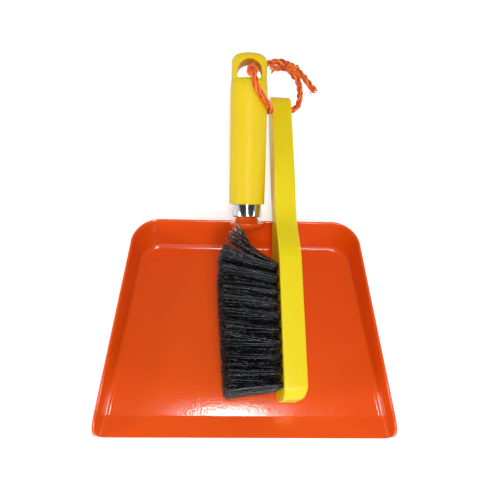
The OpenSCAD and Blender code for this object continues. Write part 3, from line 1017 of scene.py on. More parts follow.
@dataclass
class Handle:
    """Chrome ferrule, yellow grip and the cap with the hanging slot.

    Attributes:
        pan: The pan, whose neck carries the handle.
        ferrule_at: Place of the ferrule's lower end on the handle's axis.
        grip_taper_l: Length of the grip's end that narrows to the cap.
        cap_crown: Height of the cap's crown above its rounded edge.
        slot_floor: Material below the slot.
        plug_head: Thickness of the plug's closed upper end.
        fit_gap: Gap between pieces that are pushed together.
    """

    pan: DustPan
    ferrule_at: float = 0.005
    ferrule_d: float = 0.0284
    ferrule_l: float = 0.0125
    ferrule_wall: float = 0.0009
    grip_low_d: float = 0.034
    grip_top_d: float = 0.0356
    grip_l: float = 0.116
    grip_taper_l: float = 0.006
    cap_d: float = 0.034
    cap_l: float = 0.026
    cap_edge_r: float = 0.0075
    cap_crown: float = 0.0008
    slot_w: float = 0.0234
    slot_h: float = 0.0172
    slot_floor: float = 0.0015
    plug_l: float = 0.022
    plug_wall: float = 0.003
    plug_head: float = 0.002
    fit_gap: float = 0.0001

    def __post_init__(self) -> None:
        """Works out the bore over the neck and where each piece starts on the axis."""
        self.bore_r = self.pan.neck_d / 2 + self.fit_gap
        self.grip_at = self.ferrule_at + self.ferrule_l
        self.cap_at = self.grip_at + self.grip_l

    def build_ferrule(self, chrome: Material) -> Piece:
        """Builds the plated cup round the neck.

        Args:
            chrome: Its finish.

        Returns:
            The ferrule.
        """
        r = self.ferrule_d / 2
        inner = r - self.ferrule_wall
        bore = self.bore_r
        edge = 0.0015
        lip = 0.0004
        profile = [(bore, self.ferrule_wall), (bore, 0.0)]
        profile += arc((r - edge, edge), edge, -90, 0, 8)
        profile += [(r, self.ferrule_l - lip)]
        profile += arc((r - lip, self.ferrule_l - lip), lip, 0, 90, 3)[1:]
        profile += [(inner, self.ferrule_l), (inner, self.ferrule_wall),
                    (bore, self.ferrule_wall)]
        bm = revolved(profile, self.pan.on_handle(self.ferrule_at), steps=112)
        piece = finish_mesh("ferrule_cup", bm, sharp=40.0)
        dress(piece, chrome)
        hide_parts("ferrule")
        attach(piece, Body.PAN.value)
        return piece

    def build_grip(self, plastic: Material) -> Piece:
        """Builds the sleeve with its nose in the ferrule and its rounded upper rim.

        Args:
            plastic: Its finish.

        Returns:
            The grip.
        """
        low, top = self.grip_low_d / 2, self.grip_top_d / 2
        nose = self.ferrule_d / 2 - self.ferrule_wall - self.fit_gap
        nose_l = self.ferrule_l - self.ferrule_wall - self.fit_gap
        bore = self.bore_r
        taper_at = self.grip_l - self.grip_taper_l
        step = 0.0003
        top_edge = self.cap_d / 2 + step
        soft = 0.0004
        foot = 0.0006
        profile = [(bore, -nose_l), (nose, -nose_l), (nose, 0.0)]
        profile += arc((low - foot, foot), foot, -90, 0, 4)
        profile += [(lerp(low, top, f), lerp(foot, taper_at - 0.001, f))
                    for f in (0.1, 0.3, 0.5, 0.7, 0.9, 1.0)]
        profile += [(ease(top, top_edge, 0.06 + 0.94 * f), lerp(taper_at, self.grip_l - soft, f))
                    for f in (0.05, 0.2, 0.4, 0.6, 0.8, 0.95)]
        profile += [(top_edge, self.grip_l - soft), (top_edge - soft, self.grip_l)]
        profile += [(bore, self.grip_l), (bore, -nose_l)]
        bm = revolved(profile, self.pan.on_handle(self.grip_at), steps=112)
        piece = finish_mesh("grip_sleeve", bm, sharp=50.0)
        add_weighted_normals(piece)
        dress(piece, plastic)
        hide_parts("grip")
        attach(piece, Body.PAN.value)
        return piece

    def _slot_cutter(self) -> Form:
        """Returns the arched hanging slot as a long closed shape across the cap."""
        r = self.slot_w / 2
        corner = 0.002
        spring = self.slot_floor + self.slot_h - r
        low = self.slot_floor
        outline = arc((0.0, spring), r, 0, 180, 28)
        outline += arc((corner - r, low + corner), corner, 180, 270, 5)
        outline += arc((r - corner, low + corner), corner, 270, 360, 5)
        reach = self.cap_d
        bm = prism([Vector((x, -reach, z)) for x, z in outline], Vector((0, 2 * reach, 0)))
        bmesh.ops.transform(bm, matrix=self.pan.on_handle(self.cap_at), verts=bm.verts[:])
        return bm

    def build_cap(self, plastic: Material) -> Piece:
        """Builds the cap with its arched hanging slot and the plug below it.

        Args:
            plastic: Its finish.

        Returns:
            The cap.
        """
        r = self.cap_d / 2
        edge_z = self.cap_l - self.cap_crown - self.cap_edge_r
        soft = 0.0004
        plug = self.pan.neck_d / 2
        inner = plug - self.plug_wall
        profile = [(0.0, -self.plug_head), (inner, -self.plug_head), (inner, -self.plug_l),
                   (plug, -self.plug_l), (plug, 0.0), (r - soft, 0.0), (r, soft)]
        profile += [(r, lerp(soft, edge_z, f)) for f in (0.33, 0.66)]
        profile += arc((r - self.cap_edge_r, edge_z), self.cap_edge_r, 0, 80, 10)
        last_r, last_z = profile[-1]
        profile += [(last_r * (1 - f), lerp(last_z, self.cap_l, 1 - (1 - f) ** 2))
                    for f in (0.25, 0.5, 0.75, 1.0)]
        bm = revolved(profile, self.pan.on_handle(self.cap_at), steps=96)
        piece = finish_mesh("cap_with_slot", bm, sharp=50.0)
        cut(piece, self._slot_cutter())
        add_bevel(piece, 0.0017, 5, angle=50.0)
        add_weighted_normals(piece)
        dress(piece, plastic)
        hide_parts("hang_cap")
        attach(piece, Body.PAN.value)
        return piece


# ------------------------------------------------------------------ brush


@dataclass
class HandBrush:
    """Moulded brush on its side: bristle block, hollow handle and forty tufts.

    The brush's own coordinates are X across it, Y from the block's end to the handle's
    end and Z from the bristle face to the back. Its block stands on the pan's floor and
    its waist on the back wall's rim, which gives its pitch. Angles are in degrees.

    Attributes:
        pan: The pan that it lies in.
        handle: The handle that it lies beside.
        toe_in: Distance of the block's end from the pan's mouth.
        rest_gap: Gap over the pan's floor.
        rim_gap: Gap over the back wall's rim.
        grip_gap: Gap beside the grip.
        clear: How far a cutter reaches past the surface.
        lean_first: Lean of the first column towards the handle.
        lean_middle: Lean that the columns after it tend to.
        lean_last: Lean of the last column.
        lean_low: Upward lean of a column's lowest tuft.
        lean_step: Further upward lean from one tuft of a column to the next.
        root_in: How far the filaments stand inside the rim of their hole.
        root_l: Length of a filament inside its hole.
        crimp_l: Length of a filament's wave.
        crimp_depth: Least and greatest height of the wave.
        trim: Least and greatest length, as shares of the full one.
        mess: Spread of the filaments' own leans, in radians.
        crossing: How far filaments reach into the next columns, against the tuft's width.
        crest: How far the uppermost tufts open upwards, against the same.
        toe_flare: How far the first column opens past the block's end, against the same.
        flare_power: Power by which a tuft opens along its length.
        last_curl: Curl of the last column towards the handle.
        stray_curl: Curl of the filaments that stand off its corner.
    """

    pan: DustPan
    handle: Handle
    yaw: float = 1.3
    roll: float = 4.5
    toe_in: float = 0.0262
    rest_gap: float = 0.0003
    rim_gap: float = 0.0018
    grip_gap: float = 0.005
    length: float = 0.302
    thick: float = 0.0205
    block_w: float = 0.0464
    block_l: float = 0.122
    block_r: float = 0.012
    waist_w: float = 0.020
    waist_at: float = 0.172
    belly_w: float = 0.0248
    belly_at: float = 0.215
    tail_w: float = 0.0232
    face_edge_r: float = 0.0012
    back_edge_r: float = 0.0025
    toe_edge_r: float = 0.007
    rim_w: float = 0.0026
    web_t: float = 0.004
    hollow_at: float = 0.136
    hollow_r: float = 0.012
    hollow_edge_r: float = 0.001
    clear: float = 0.002
    hole_d: float = 0.009
    hole_in: float = 0.013
    columns: int = 10
    tufts: int = 4
    column_pitch: float = 0.0116
    tuft_pitch: float = 0.0105
    first_column: float = 0.0126
    tuft_hole_d: float = 0.005
    tuft_hole_l: float = 0.011
    bristle_l: float = 0.054
    tip_d: float = 0.0124
    toe_trim: float = 0.006
    lean_first: float = -2.0
    lean_middle: float = 3.0
    lean_last: float = 11.0
    lean_low: float = -3.0
    lean_step: float = 3.0
    filaments: int = 125
    filament_d: float = 0.00054
    filament_steps: int = 13
    root_in: float = 0.0004
    root_l: float = 0.004
    crimp_l: float = 0.0075
    crimp_depth: tuple[float, float] = (0.00012, 0.00036)
    trim: tuple[float, float] = (0.965, 1.008)
    mess: float = 0.040
    crossing: float = 1.9
    crest: float = 1.8
    toe_flare: float = 0.7
    flare_power: float = 0.32
    last_curl: float = 9.0
    curl_spread: float = 3.0
    stray_curl: float = 38.0
    stray_spread: float = 8.0

    def __post_init__(self) -> None:
        """Works out the placing of the brush."""
        self.tail_y = self.length - self.tail_w / 2
        pitch = self._rest_pitch()
        self.place = (Matrix.Translation(self._spot(pitch))
                      @ Matrix.Rotation(math.radians(self.yaw), 4, "Z")
                      @ Matrix.Rotation(pitch, 4, "X")
                      @ Matrix.Rotation(math.radians(90 + self.roll), 4, "Y"))

    def _side_drop(self, half: float) -> float:
        """Returns how far the lower side lies below the axis where the brush is half wide."""
        roll, edge = math.radians(self.roll), self.back_edge_r
        return (half - edge) * math.cos(roll) + (self.thick - edge) * math.sin(roll) + edge

    def _corner_drop(self, pitch: float) -> float:
        """Returns how far the block's lowest corner lies below the brush's own origin."""
        roll, edge = math.radians(self.roll), self.back_edge_r
        level = math.cos(pitch) * math.cos(roll)
        round_corner = (self.block_r - edge) * math.hypot(level, math.sin(pitch))
        return ((self.block_w / 2 - self.block_r) * level - self.block_r * math.sin(pitch)
                + round_corner + (self.thick - edge) * math.cos(pitch) * math.sin(roll) + edge)

    def _spot(self, pitch: float) -> Vector:
        """Returns the place of the brush's own origin at a pitch in radians."""
        run = (self.length - self.hole_in) * math.cos(pitch)
        beside = self.handle.grip_top_d / 2 + self.grip_gap
        return Vector((beside + run * math.sin(math.radians(self.yaw)),
                       self.toe_in - self.pan.half_depth,
                       self.pan.sheet_t + self.rest_gap + self._corner_drop(pitch)))

    def _rest_pitch(self, rounds: int = 6) -> float:
        """Finds the pitch at which the brush rests on the floor and on the rim.

        Args:
            rounds: How often the guess is improved.

        Returns:
            The pitch in radians.
        """
        pitch = math.radians(8.0)
        for _ in range(rounds):
            spot = self._spot(pitch)
            reach = (self.pan.fold_y - spot.y) / math.cos(math.radians(self.yaw))
            rise = self.pan.fold_z - spot.z
            slope = math.hypot(reach, rise)
            drop = self._side_drop(self.half_w(slope)) + self.pan.fold_r + self.rim_gap
            pitch = math.atan2(rise, reach) + math.asin(drop / slope)
        return pitch

    def half_w(self, y: float) -> float:
        """Returns half the brush's width at y."""
        if y < self.block_l:
            return self.block_w / 2
        if y < self.waist_at:
            f = (y - self.block_l) / (self.waist_at - self.block_l)
            return ease(self.block_w, self.waist_w, f) / 2
        if y < self.belly_at:
            f = (y - self.waist_at) / (self.belly_at - self.waist_at)
            return ease(self.waist_w, self.belly_w, f) / 2
        f = (y - self.belly_at) / (self.tail_y - self.belly_at)
        return ease(self.belly_w, self.tail_w, f) / 2

    def _outline(self) -> list[tuple[float, float]]:
        """Lists the brush's outline, anticlockwise from the middle of the block's end."""
        side = arc((self.block_w / 2 - self.block_r, self.block_r), self.block_r, -90, 0, 12)
        side += [(self.block_w / 2, lerp(self.block_r, self.block_l, k / 8)) for k in range(1, 8)]
        steps = 44
        side += [(self.half_w(y), y) for y in (
            lerp(self.block_l, self.tail_y, k / steps) for k in range(steps))]
        side += arc((0.0, self.tail_y), self.tail_w / 2, 0, 84, 14)
        return ([(0.0, 0.0)] + side + [(0.0, self.length)]
                + [(-x, y) for x, y in reversed(side)])

    def _moulding(self) -> Form:
        """Raises the outline into the body, ring by ring, with its edges rounded."""
        outline = self._outline()
        count = len(outline)
        normals = []
        for k in range(count):
            ahead, behind = outline[(k + 1) % count], outline[k - 1]
            along = Vector((ahead[0] - behind[0], ahead[1] - behind[1])).normalized()
            normals.append(Vector((along.y, -along.x)))

        def back_r(y: float) -> float:
            """Returns the radius of the back's edge at y."""
            return ease(self.toe_edge_r, self.back_edge_r, y / self.block_r)

        def ring(inset: Callable[[float], float], z: Callable[[float], float]) -> list[Vector]:
            """Returns the outline drawn inwards and raised, each by an amount that y gives."""
            return [Vector((x - inset(y) * n.x, y - inset(y) * n.y, z(y)))
                    for (x, y), n in zip(outline, normals)]

        rings = []
        for k in range(7):
            a = math.pi / 2 * k / 6
            rings.append(ring(lambda y, a=a: self.face_edge_r * (1 - math.sin(a)),
                              lambda y, a=a: self.face_edge_r * (1 - math.cos(a))))
        for k in range(11):
            a = math.pi / 2 * k / 10
            rings.append(ring(lambda y, a=a: back_r(y) * (1 - math.cos(a)),
                              lambda y, a=a: self.thick - back_r(y) * (1 - math.sin(a))))
        bm = bmesh.new()
        verts = [bm.verts.new(p) for p in rings[0]]
        face = bmesh.ops.contextual_create(bm, geom=verts)["faces"]
        for points in rings[1:]:
            place = {tuple(vert.co): k for k, vert in enumerate(verts)}
            rim = [edge for part in face for edge in part.edges]
            grown = bmesh.ops.extrude_face_region(bm, geom=face + rim)["geom"]
            face = [part for part in grown if isinstance(part, bmesh.types.BMFace)]
            raised = [part for part in grown if isinstance(part, bmesh.types.BMVert)]
            verts = sorted(raised, key=lambda vert: place[tuple(vert.co)])
            for vert, point in zip(verts, points):
                vert.co = point
        bmesh.ops.recalc_face_normals(bm, faces=bm.faces[:])
        return bm

    def _hollow_cutter(self) -> Form:
        """Returns the handle's hollow as a closed shape that reaches past the bristle side."""
        side = []
        for f in (0.02, 0.06, 0.14, 0.26, 0.42, 0.62, 0.82, 1.0):
            y = self.hollow_at + f * self.hollow_r
            side.append(((self.half_w(y) - self.rim_w) * math.sqrt(1 - (1 - f) ** 2), y))
        steps = 36
        side += [(self.half_w(y) - self.rim_w, y) for y in (
            lerp(self.hollow_at + self.hollow_r, self.tail_y, k / steps)
            for k in range(1, steps))]
        side += arc((0.0, self.tail_y), self.tail_w / 2 - self.rim_w, 0, 84, 12)
        outline = ([(0.0, self.hollow_at)] + side + [(0.0, self.length - self.rim_w)]
                   + [(-x, y) for x, y in reversed(side)])
        bm = prism([Vector((x, y, -self.clear)) for x, y in outline],
                   Vector((0, 0, self.thick - self.web_t + self.clear)))
        floor_edges = [e for e in bm.edges if all(v.co.z > 0 for v in e.verts)]
        bmesh.ops.bevel(bm, geom=floor_edges, offset=self.hollow_edge_r, segments=3,
                        profile=0.5, affect="EDGES", material=-1)
        return bm

    def _bores(self) -> Form:
        """Returns the hanging hole and the tuft holes as closed shapes."""
        bm = bmesh.new()

        def drill(x: float, y: float, low: float, high: float, r: float, sides: int) -> None:
            """Adds a round bore between two heights."""
            bmesh.ops.create_cone(
                bm, cap_ends=True, segments=sides, radius1=r, radius2=r, depth=high - low,
                matrix=Matrix.Translation((x, y, (low + high) / 2)))

        drill(0.0, self.length - self.hole_in, self.thick - self.web_t - self.clear,
              self.thick + self.clear, self.hole_d / 2, 40)
        for column in range(self.columns):
            for row in range(self.tufts):
                x, y = self._root(column, row)
                drill(x, y, -self.clear, self.tuft_hole_l, self.tuft_hole_d / 2, 20)
        return bm

    def build_body(self, plastic: Material) -> Piece:
        """Builds the moulded body with its hollow, hanging hole and tuft holes.

        Args:
            plastic: Its finish.

        Returns:
            The body.
        """
        piece = finish_mesh("brush_moulding", self._moulding(), sharp=40.0)
        cut(piece, self._hollow_cutter())
        cut(piece, self._bores())
        add_bevel(piece, 0.0005, 2, angle=50.0)
        apply_modifiers(piece)
        piece.data.transform(self.place)
        piece.data.set_sharp_from_angle(angle=math.radians(42.0))
        dress(piece, plastic)
        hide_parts("brush_body")
        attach(piece, Body.BRUSH.value)
        return piece

    def _root(self, column: int, row: int) -> tuple[float, float]:
        """Returns the place of a tuft's root in brush coordinates."""
        return ((row - (self.tufts - 1) / 2) * self.tuft_pitch,
                self.first_column + column * self.column_pitch)

    def _lean(self, column: int) -> float:
        """Returns a column's lean towards the handle in radians."""
        share = column / (self.columns - 1)
        lean = lerp(self.lean_first, self.lean_middle, 1 - (1 - share) ** 3)
        return math.radians(lean + (self.lean_last - self.lean_middle) * share**8)

    def _filament(self, luck: random.Random, root: Vector, lean: tuple[float, float],
                  share: float, angle: float, length: float, curl: float,
                  wide: float, high: float) -> list[tuple[Vector, float]]:
        """Bends one filament out of its tuft.

        Args:
            luck: Seeded source of small differences.
            root: Middle of the tuft's mouth.
            lean: The tuft's lean across the brush and along it, in radians.
            share: Place from the tuft's middle, 0, to its rim, 1.
            angle: Direction from the middle, in radians.
            length: Length outside the block.
            curl: How far the filament's end turns towards the handle, in radians.
            wide: How far it reaches along the brush, against the tuft's own width.
            high: How far it reaches across the brush, against the same.

        Returns:
            Points in brush coordinates, with the share of the radius.
        """
        radius = (self.tuft_hole_d / 2 - self.root_in) * share
        fan = (self.tip_d / 2 - self.tuft_hole_d / 2) * share
        across = lean[0] + luck.gauss(0, self.mess)
        along = lean[1] + luck.gauss(0, self.mess)
        middle = root + Vector((-radius * math.cos(angle), radius * math.sin(angle), 0.0))
        phase, turn = luck.uniform(0, math.tau), luck.uniform(0, math.tau)
        crimp = luck.uniform(*self.crimp_depth)
        step = length / self.filament_steps
        points = [(middle + Vector((0, 0, self.root_l)), 1.0), (middle.copy(), 1.0)]
        for k in range(self.filament_steps):
            f = (k + 0.5) / self.filament_steps
            b = along + curl * min(1.0, f / 0.7) ** 1.4
            middle = middle + step * Vector((-math.cos(b) * math.sin(across), math.sin(b),
                                             -math.cos(b) * math.cos(across)))
            done = (k + 1) / self.filament_steps
            open_by = done**self.flare_power
            wave = crimp * math.sin(phase + done * length / self.crimp_l * math.tau)
            aside = Vector((-fan * math.cos(angle) * high * open_by + wave * math.cos(turn),
                            fan * math.sin(angle) * wide * open_by + wave * math.sin(turn), 0.0))
            points.append((middle + aside, 1.0 if done < 1 else 0.8))
        return points

    def build_column(self, column: int, bristle: Material) -> Piece:
        """Builds the four tufts of one column.

        Args:
            column: Number of the column from the block's end.
            bristle: Their finish.

        Returns:
            The column's filaments as one mesh.
        """
        luck = random.Random(700 + column)
        full = self.bristle_l - self.toe_trim * (1 - column / (self.columns - 1))
        last = column == self.columns - 1
        golden = math.pi * (3 - math.sqrt(5))
        runs = []
        for row in range(self.tufts):
            lean_x = math.radians(self.lean_low + (self.tufts - 1 - row) * self.lean_step)
            x, y = self._root(column, row)
            for k in range(self.filaments):
                share = math.sqrt((k + 0.5) / self.filaments)
                length = full * luck.uniform(*self.trim)
                curl = math.radians(luck.gauss(self.last_curl if last else 0.0, self.curl_spread))
                lean_y = self._lean(column)
                side = math.sin(k * golden)
                wide = self.crossing
                if column == 0 and side < 0:
                    wide = self.toe_flare
                elif last and side > 0:
                    wide = 1.0
                if last and row < 2 and side * share > 0.25:
                    curl = math.radians(luck.gauss(self.stray_curl, self.stray_spread))
                    lean_y += math.radians(luck.uniform(0, 5))
                    length *= luck.uniform(0.93, 1.02)
                high = self.crest if row == 0 and math.cos(k * golden) > 0 else 1.0
                runs.append(self._filament(luck, Vector((x, y, 0.0)), (lean_x, lean_y), share,
                                           k * golden, length, curl, wide, high))
        piece = tubes(f"bristles_{column + 1:02d}", runs, self.filament_d / 2)
        piece.data.transform(self.place)
        dress(piece, bristle)
        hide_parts(f"tufts_{column + 1:02d}")
        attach(piece, Body.BRUSH.value)
        return piece

    @staticmethod
    def dress_staples(wire: Material) -> Piece:
        """Gives the frame's own staples their finish and returns them."""
        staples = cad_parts["staples"]
        staples.data.materials.clear()
        staples.data.materials.append(wire)
        return staples


# ------------------------------------------------------------------ cord


@dataclass
class HangingCord:
    """Laid cord that ties the brush to the cap's slot, with its knot and two tails.

    Attributes:
        hitch_at: Middle of the turns that gather the loop in the slot.
        hitch_r: Radius of those turns.
        hitch_rise: Climb from their first turn to their last.
        hitch_size: Thickness of the cord there, as a share of its own.
        lay_length: Length in which a strand goes once round the cord.
        yarn_lay: Length in which a yarn goes once round its strand, as a share of that.
        strand_reach: Distance of a strand from the middle, as a share of the diameter.
        yarn_reach: Distance of a yarn from its strand's middle, as a share of the same.
        plump: How far the loose lay swells the cord.
        fray_l: Length over which a cut end opens.
    """

    diameter: float = 0.0056
    knot_at: Vector = field(default_factory=lambda: Vector((0.0429, 0.2382, 0.104)))
    knot_d: float = 0.0135
    hitch_at: Vector = field(default_factory=lambda: Vector((0.0019, 0.2098, 0.1296)))
    hitch_r: float = 0.0030
    hitch_turns: float = 1.6
    hitch_rise: float = 0.0035
    hitch_size: float = 0.85
    lay_length: float = 0.021
    yarn_lay: float = 0.55
    strands: int = 3
    yarns: int = 5
    strand_reach: float = 0.28
    yarn_reach: float = 0.1519
    plump: float = 1.13
    fray_l: float = 0.008
    loop_route: tuple[tuple[float, float, float], ...] = (
        (0.0435, 0.235, 0.1), (0.048, 0.2325, 0.0965), (0.0506, 0.229, 0.091),
        (0.0518, 0.226, 0.085), (0.0522, 0.2236, 0.079), (0.0516, 0.2218, 0.0732),
        (0.0494, 0.2204, 0.069), (0.0456, 0.2193, 0.0664), (0.041, 0.2188, 0.0658),
        (0.036, 0.2185, 0.0664), (0.0315, 0.2178, 0.0676), (0.0265, 0.216, 0.0695),
        (0.0224, 0.213, 0.0726), (0.0203, 0.209, 0.0766), (0.02, 0.2035, 0.082),
        (0.0203, 0.1975, 0.089), (0.0209, 0.192, 0.0965), (0.0186, 0.1905, 0.1055),
        (0.0132, 0.1915, 0.1138), (0.0076, 0.1955, 0.1213), (0.0048, 0.2, 0.1268),
        (0.0036, 0.2055, 0.1304), (0.0029, 0.212, 0.1308), (0.0023, 0.218, 0.1273),
        (0.0016, 0.222, 0.1215), (0.0008, 0.2253, 0.1148), (0.0005, 0.2295, 0.1085),
        (0.0015, 0.235, 0.103), (0.0065, 0.24, 0.1), (0.013, 0.244, 0.1012),
        (0.0205, 0.2461, 0.1038), (0.0295, 0.2459, 0.106), (0.036, 0.2433, 0.1068),
        (0.0405, 0.2406, 0.106))
    long_tail_route: tuple[tuple[float, float, float], ...] = (
        (0.046, 0.2365, 0.1046), (0.0495, 0.2333, 0.1046), (0.0542, 0.2277, 0.1036),
        (0.0586, 0.2216, 0.102), (0.0625, 0.2166, 0.1), (0.0647, 0.2133, 0.0985))
    short_tail_route: tuple[tuple[float, float, float], ...] = (
        (0.0395, 0.2394, 0.1026), (0.0364, 0.2411, 0.1024), (0.0298, 0.2423, 0.1014),
        (0.0248, 0.2418, 0.1006), (0.0204, 0.241, 0.1004))

    @staticmethod
    def smooth(route: Sequence[tuple[float, float, float]], pitch: float) -> list[Vector]:
        """Draws a smooth line through a route's points.

        Args:
            route: Points to pass through.
            pitch: Wanted spacing of the result.

        Returns:
            Evenly spaced points, both ends included.
        """
        knots = [Vector(p) for p in route]
        ends = [2 * knots[0] - knots[1]] + knots + [2 * knots[-1] - knots[-2]]
        fine = []
        for a, b, c, d in zip(ends, ends[1:], ends[2:], ends[3:]):
            for k in range(16):
                t = k / 16
                fine.append(0.5 * (2 * b + (c - a) * t + (2 * a - 5 * b + 4 * c - d) * t * t
                                   + (3 * b - a - 3 * c + d) * t**3))
        fine.append(knots[-1])
        lengths = [0.0]
        for p, q in zip(fine, fine[1:]):
            lengths.append(lengths[-1] + (q - p).length)
        count = max(2, round(lengths[-1] / pitch))
        points, at = [], 0
        for k in range(count + 1):
            wanted = lengths[-1] * k / count
            while at < len(fine) - 2 and lengths[at + 1] < wanted:
                at += 1
            run = lengths[at + 1] - lengths[at]
            points.append(fine[at].lerp(fine[at + 1], (wanted - lengths[at]) / run if run else 0))
        return points

    @staticmethod
    def frames(line: Sequence[Vector]) -> list[tuple[Vector, Vector]]:
        """Carries a pair of cross directions along a line without twist."""
        found = []
        across = Vector((0.3, 0.2, 1.0))
        for k in range(len(line)):
            along = (line[min(k + 1, len(line) - 1)] - line[max(k - 1, 0)]).normalized()
            across = (across - across.dot(along) * along).normalized()
            found.append((across.copy(), along.cross(across)))
        return found

    def laid(self, line: Sequence[Vector], size: float, luck: random.Random,
             fray: float = 0.0) -> list[list[tuple[Vector, float]]]:
        """Lays strands of yarn round a line.

        Args:
            line: The cord's centreline.
            size: The cord's diameter.
            luck: Seeded source of small differences.
            fray: Length over which the far end opens.

        Returns:
            Every yarn's points, with the share of its radius.
        """
        spots = self.frames(line)
        pitch = (line[1] - line[0]).length
        ring_r = size * self.strand_reach
        yarn_ring = size * self.yarn_reach
        runs = []
        for strand in range(self.strands):
            for yarn in range(self.yarns):
                own = luck.uniform(-0.15, 0.15)
                loose = luck.uniform(0.4, 1.0)
                stop = len(line) - luck.randint(0, 5) if fray else len(line)
                run = []
                for k in range(stop):
                    s = k * pitch
                    opened = 0.0
                    if fray:
                        opened = max(0.0, 1 - (len(line) - 1 - k) * pitch / fray) ** 2 * loose
                    turn = math.tau * (s / self.lay_length + strand / self.strands)
                    twist = math.tau * (yarn / self.yarns
                                        - s / (self.lay_length * self.yarn_lay)) + own
                    across, other = spots[k]
                    radial = math.cos(turn) * across + math.sin(turn) * other
                    tangent = -math.sin(turn) * across + math.cos(turn) * other
                    strand_out = radial * ring_r * (1 + 0.9 * opened)
                    yarn_out = math.cos(twist) * radial + math.sin(twist) * tangent
                    yarn_out *= yarn_ring * (1 + 1.2 * opened)
                    run.append((line[k] + strand_out + yarn_out, 1.0 - 0.35 * opened))
                runs.append(run)
        return runs

    def _fuzz(self, line: Sequence[Vector], luck: random.Random,
              count: int) -> list[list[tuple[Vector, float]]]:
        """Lists short loose fibres that stand off the cord."""
        spots = self.frames(line)
        runs = []
        for _ in range(count):
            k = luck.randint(2, len(line) - 3)
            angle = luck.uniform(0, math.tau)
            across, other = spots[k]
            out = math.cos(angle) * across + math.sin(angle) * other
            along = (line[k + 1] - line[k]).normalized() * luck.choice((-1, 1))
            start = line[k] + out * self.diameter * 0.48
            reach = luck.uniform(0.0008, 0.002)
            runs.append([(start, 0.2),
                         (start + along * reach + out * reach * 0.25, 0.16),
                         (start + along * reach * 1.6 + out * reach * 0.6, 0.1)])
        return runs

    def _rope(self, name: str, route: Sequence[tuple[float, float, float]], seed: int,
              node: str, fibre: Material,
              fray: float = 0.0) -> tuple[Piece, list[Vector]]:
        """Builds one stretch of cord.

        Args:
            name: Name of the piece.
            route: Points that it passes through.
            seed: Seed of its small differences.
            node: CAD node that it stands for.
            fibre: Its finish.
            fray: Length over which its far end opens.

        Returns:
            The piece and its centreline.
        """
        luck = random.Random(seed)
        line = self.smooth(route, 0.0007)
        runs = self.laid(line, self.diameter * self.plump, luck, fray)
        runs += self._fuzz(line, luck, max(12, len(line) // 3))
        piece = tubes(name, runs, self.diameter * 0.098, resolution=1)
        dress(piece, fibre)
        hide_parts(node)
        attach(piece, Body.CORD.value)
        return piece, line

    def _knot(self, fibre: Material) -> Piece:
        """Builds the overhand knot where the cord's two ends meet."""
        luck = random.Random(41)
        steps = 90
        size = self.knot_d / 2 - self.diameter * 0.36
        wide, deep, cross = size * 0.36, size * 0.42, 1.9
        line = []
        for k in range(steps + 1):
            t = math.tau * k / steps
            line.append(self.knot_at + Vector((wide * (math.sin(t) + cross * math.sin(2 * t)),
                                               deep * math.sin(3 * t),
                                               wide * (math.cos(t) - cross * math.cos(2 * t)))))
        piece = tubes("knot_turns", self.laid(line, self.diameter, luck),
                      self.diameter * 0.094, resolution=1)
        dress(piece, fibre)
        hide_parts("cord_knot")
        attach(piece, Body.CORD.value)
        return piece

    def _hitch(self, fibre: Material) -> Piece:
        """Builds the turn and a half that gathers the loop in the slot."""
        luck = random.Random(57)
        steps = 60
        start = -0.9
        aside, ahead = Vector((1.0, 0.0, 0.04)), Vector((0.0, 0.885, 0.464))
        upwards = Vector((0.0, -0.46, 0.885))
        line = []
        for k in range(steps + 1):
            t = start + math.tau * self.hitch_turns * k / steps
            climb = self.hitch_rise * (k / steps - 0.5)
            line.append(self.hitch_at + self.hitch_r * (math.cos(t) * aside + math.sin(t) * ahead)
                        + climb * upwards)
        piece = tubes("hitch_in_slot", self.laid(line, self.diameter * self.hitch_size, luck),
                      self.diameter * 0.088, resolution=1)
        dress(piece, fibre)
        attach(piece, Body.CORD.value)
        return piece

    def build(self, fibre: Material) -> list[Piece]:
        """Args:
            fibre: Its finish.

        Returns:
            The loop, the knot, the hitch and the tails.
        """
        knot = self._knot(fibre)
        hitch = self._hitch(fibre)
        tails = [self._rope(name, route, seed, node, fibre, fray=self.fray_l)[0]
                 for name, route, node, seed in (
                     ("long_tail", self.long_tail_route, "cord_tail_long", 9),
                     ("short_tail", self.short_tail_route, "cord_tail_short", 13))]
        loop, line = self._rope("loop_of_cord", self.loop_route, 5, "cord_loop", fibre)
        return [loop, knot, hitch, *tails]

    @staticmethod
    def _length(line: Sequence[Vector]) -> float:
        """Returns the length of a line."""
        return sum((b - a).length for a, b in zip(line, line[1:]))


# ------------------------------------------------------------------ studio


@dataclass(frozen=True)
class Lamp:
    """Soft rectangular lamp: its middle, the point that it faces, its sides and its power."""

    name: str
    place: tuple[float, float, float]
    aim: tuple[float, float, float]
    width: float
    depth: float
    watts: float

    def hang(self) -> Piece:
        """Adds the lamp to the scene and returns it."""
        data = bpy.data.lights.new(self.name, "AREA")
        data.shape = "RECTANGLE"
        data.size = self.width
        data.size_y = self.depth
        data.energy = self.watts
        lamp = bpy.data.objects.new(self.name, data)
        turn = (Vector(self.aim) - Vector(self.place)).to_track_quat("-Z", "Y")
        lamp.matrix_world = Matrix.Translation(self.place) @ turn.to_matrix().to_4x4()
        bpy.context.scene.collection.objects.link(lamp)
        return lamp


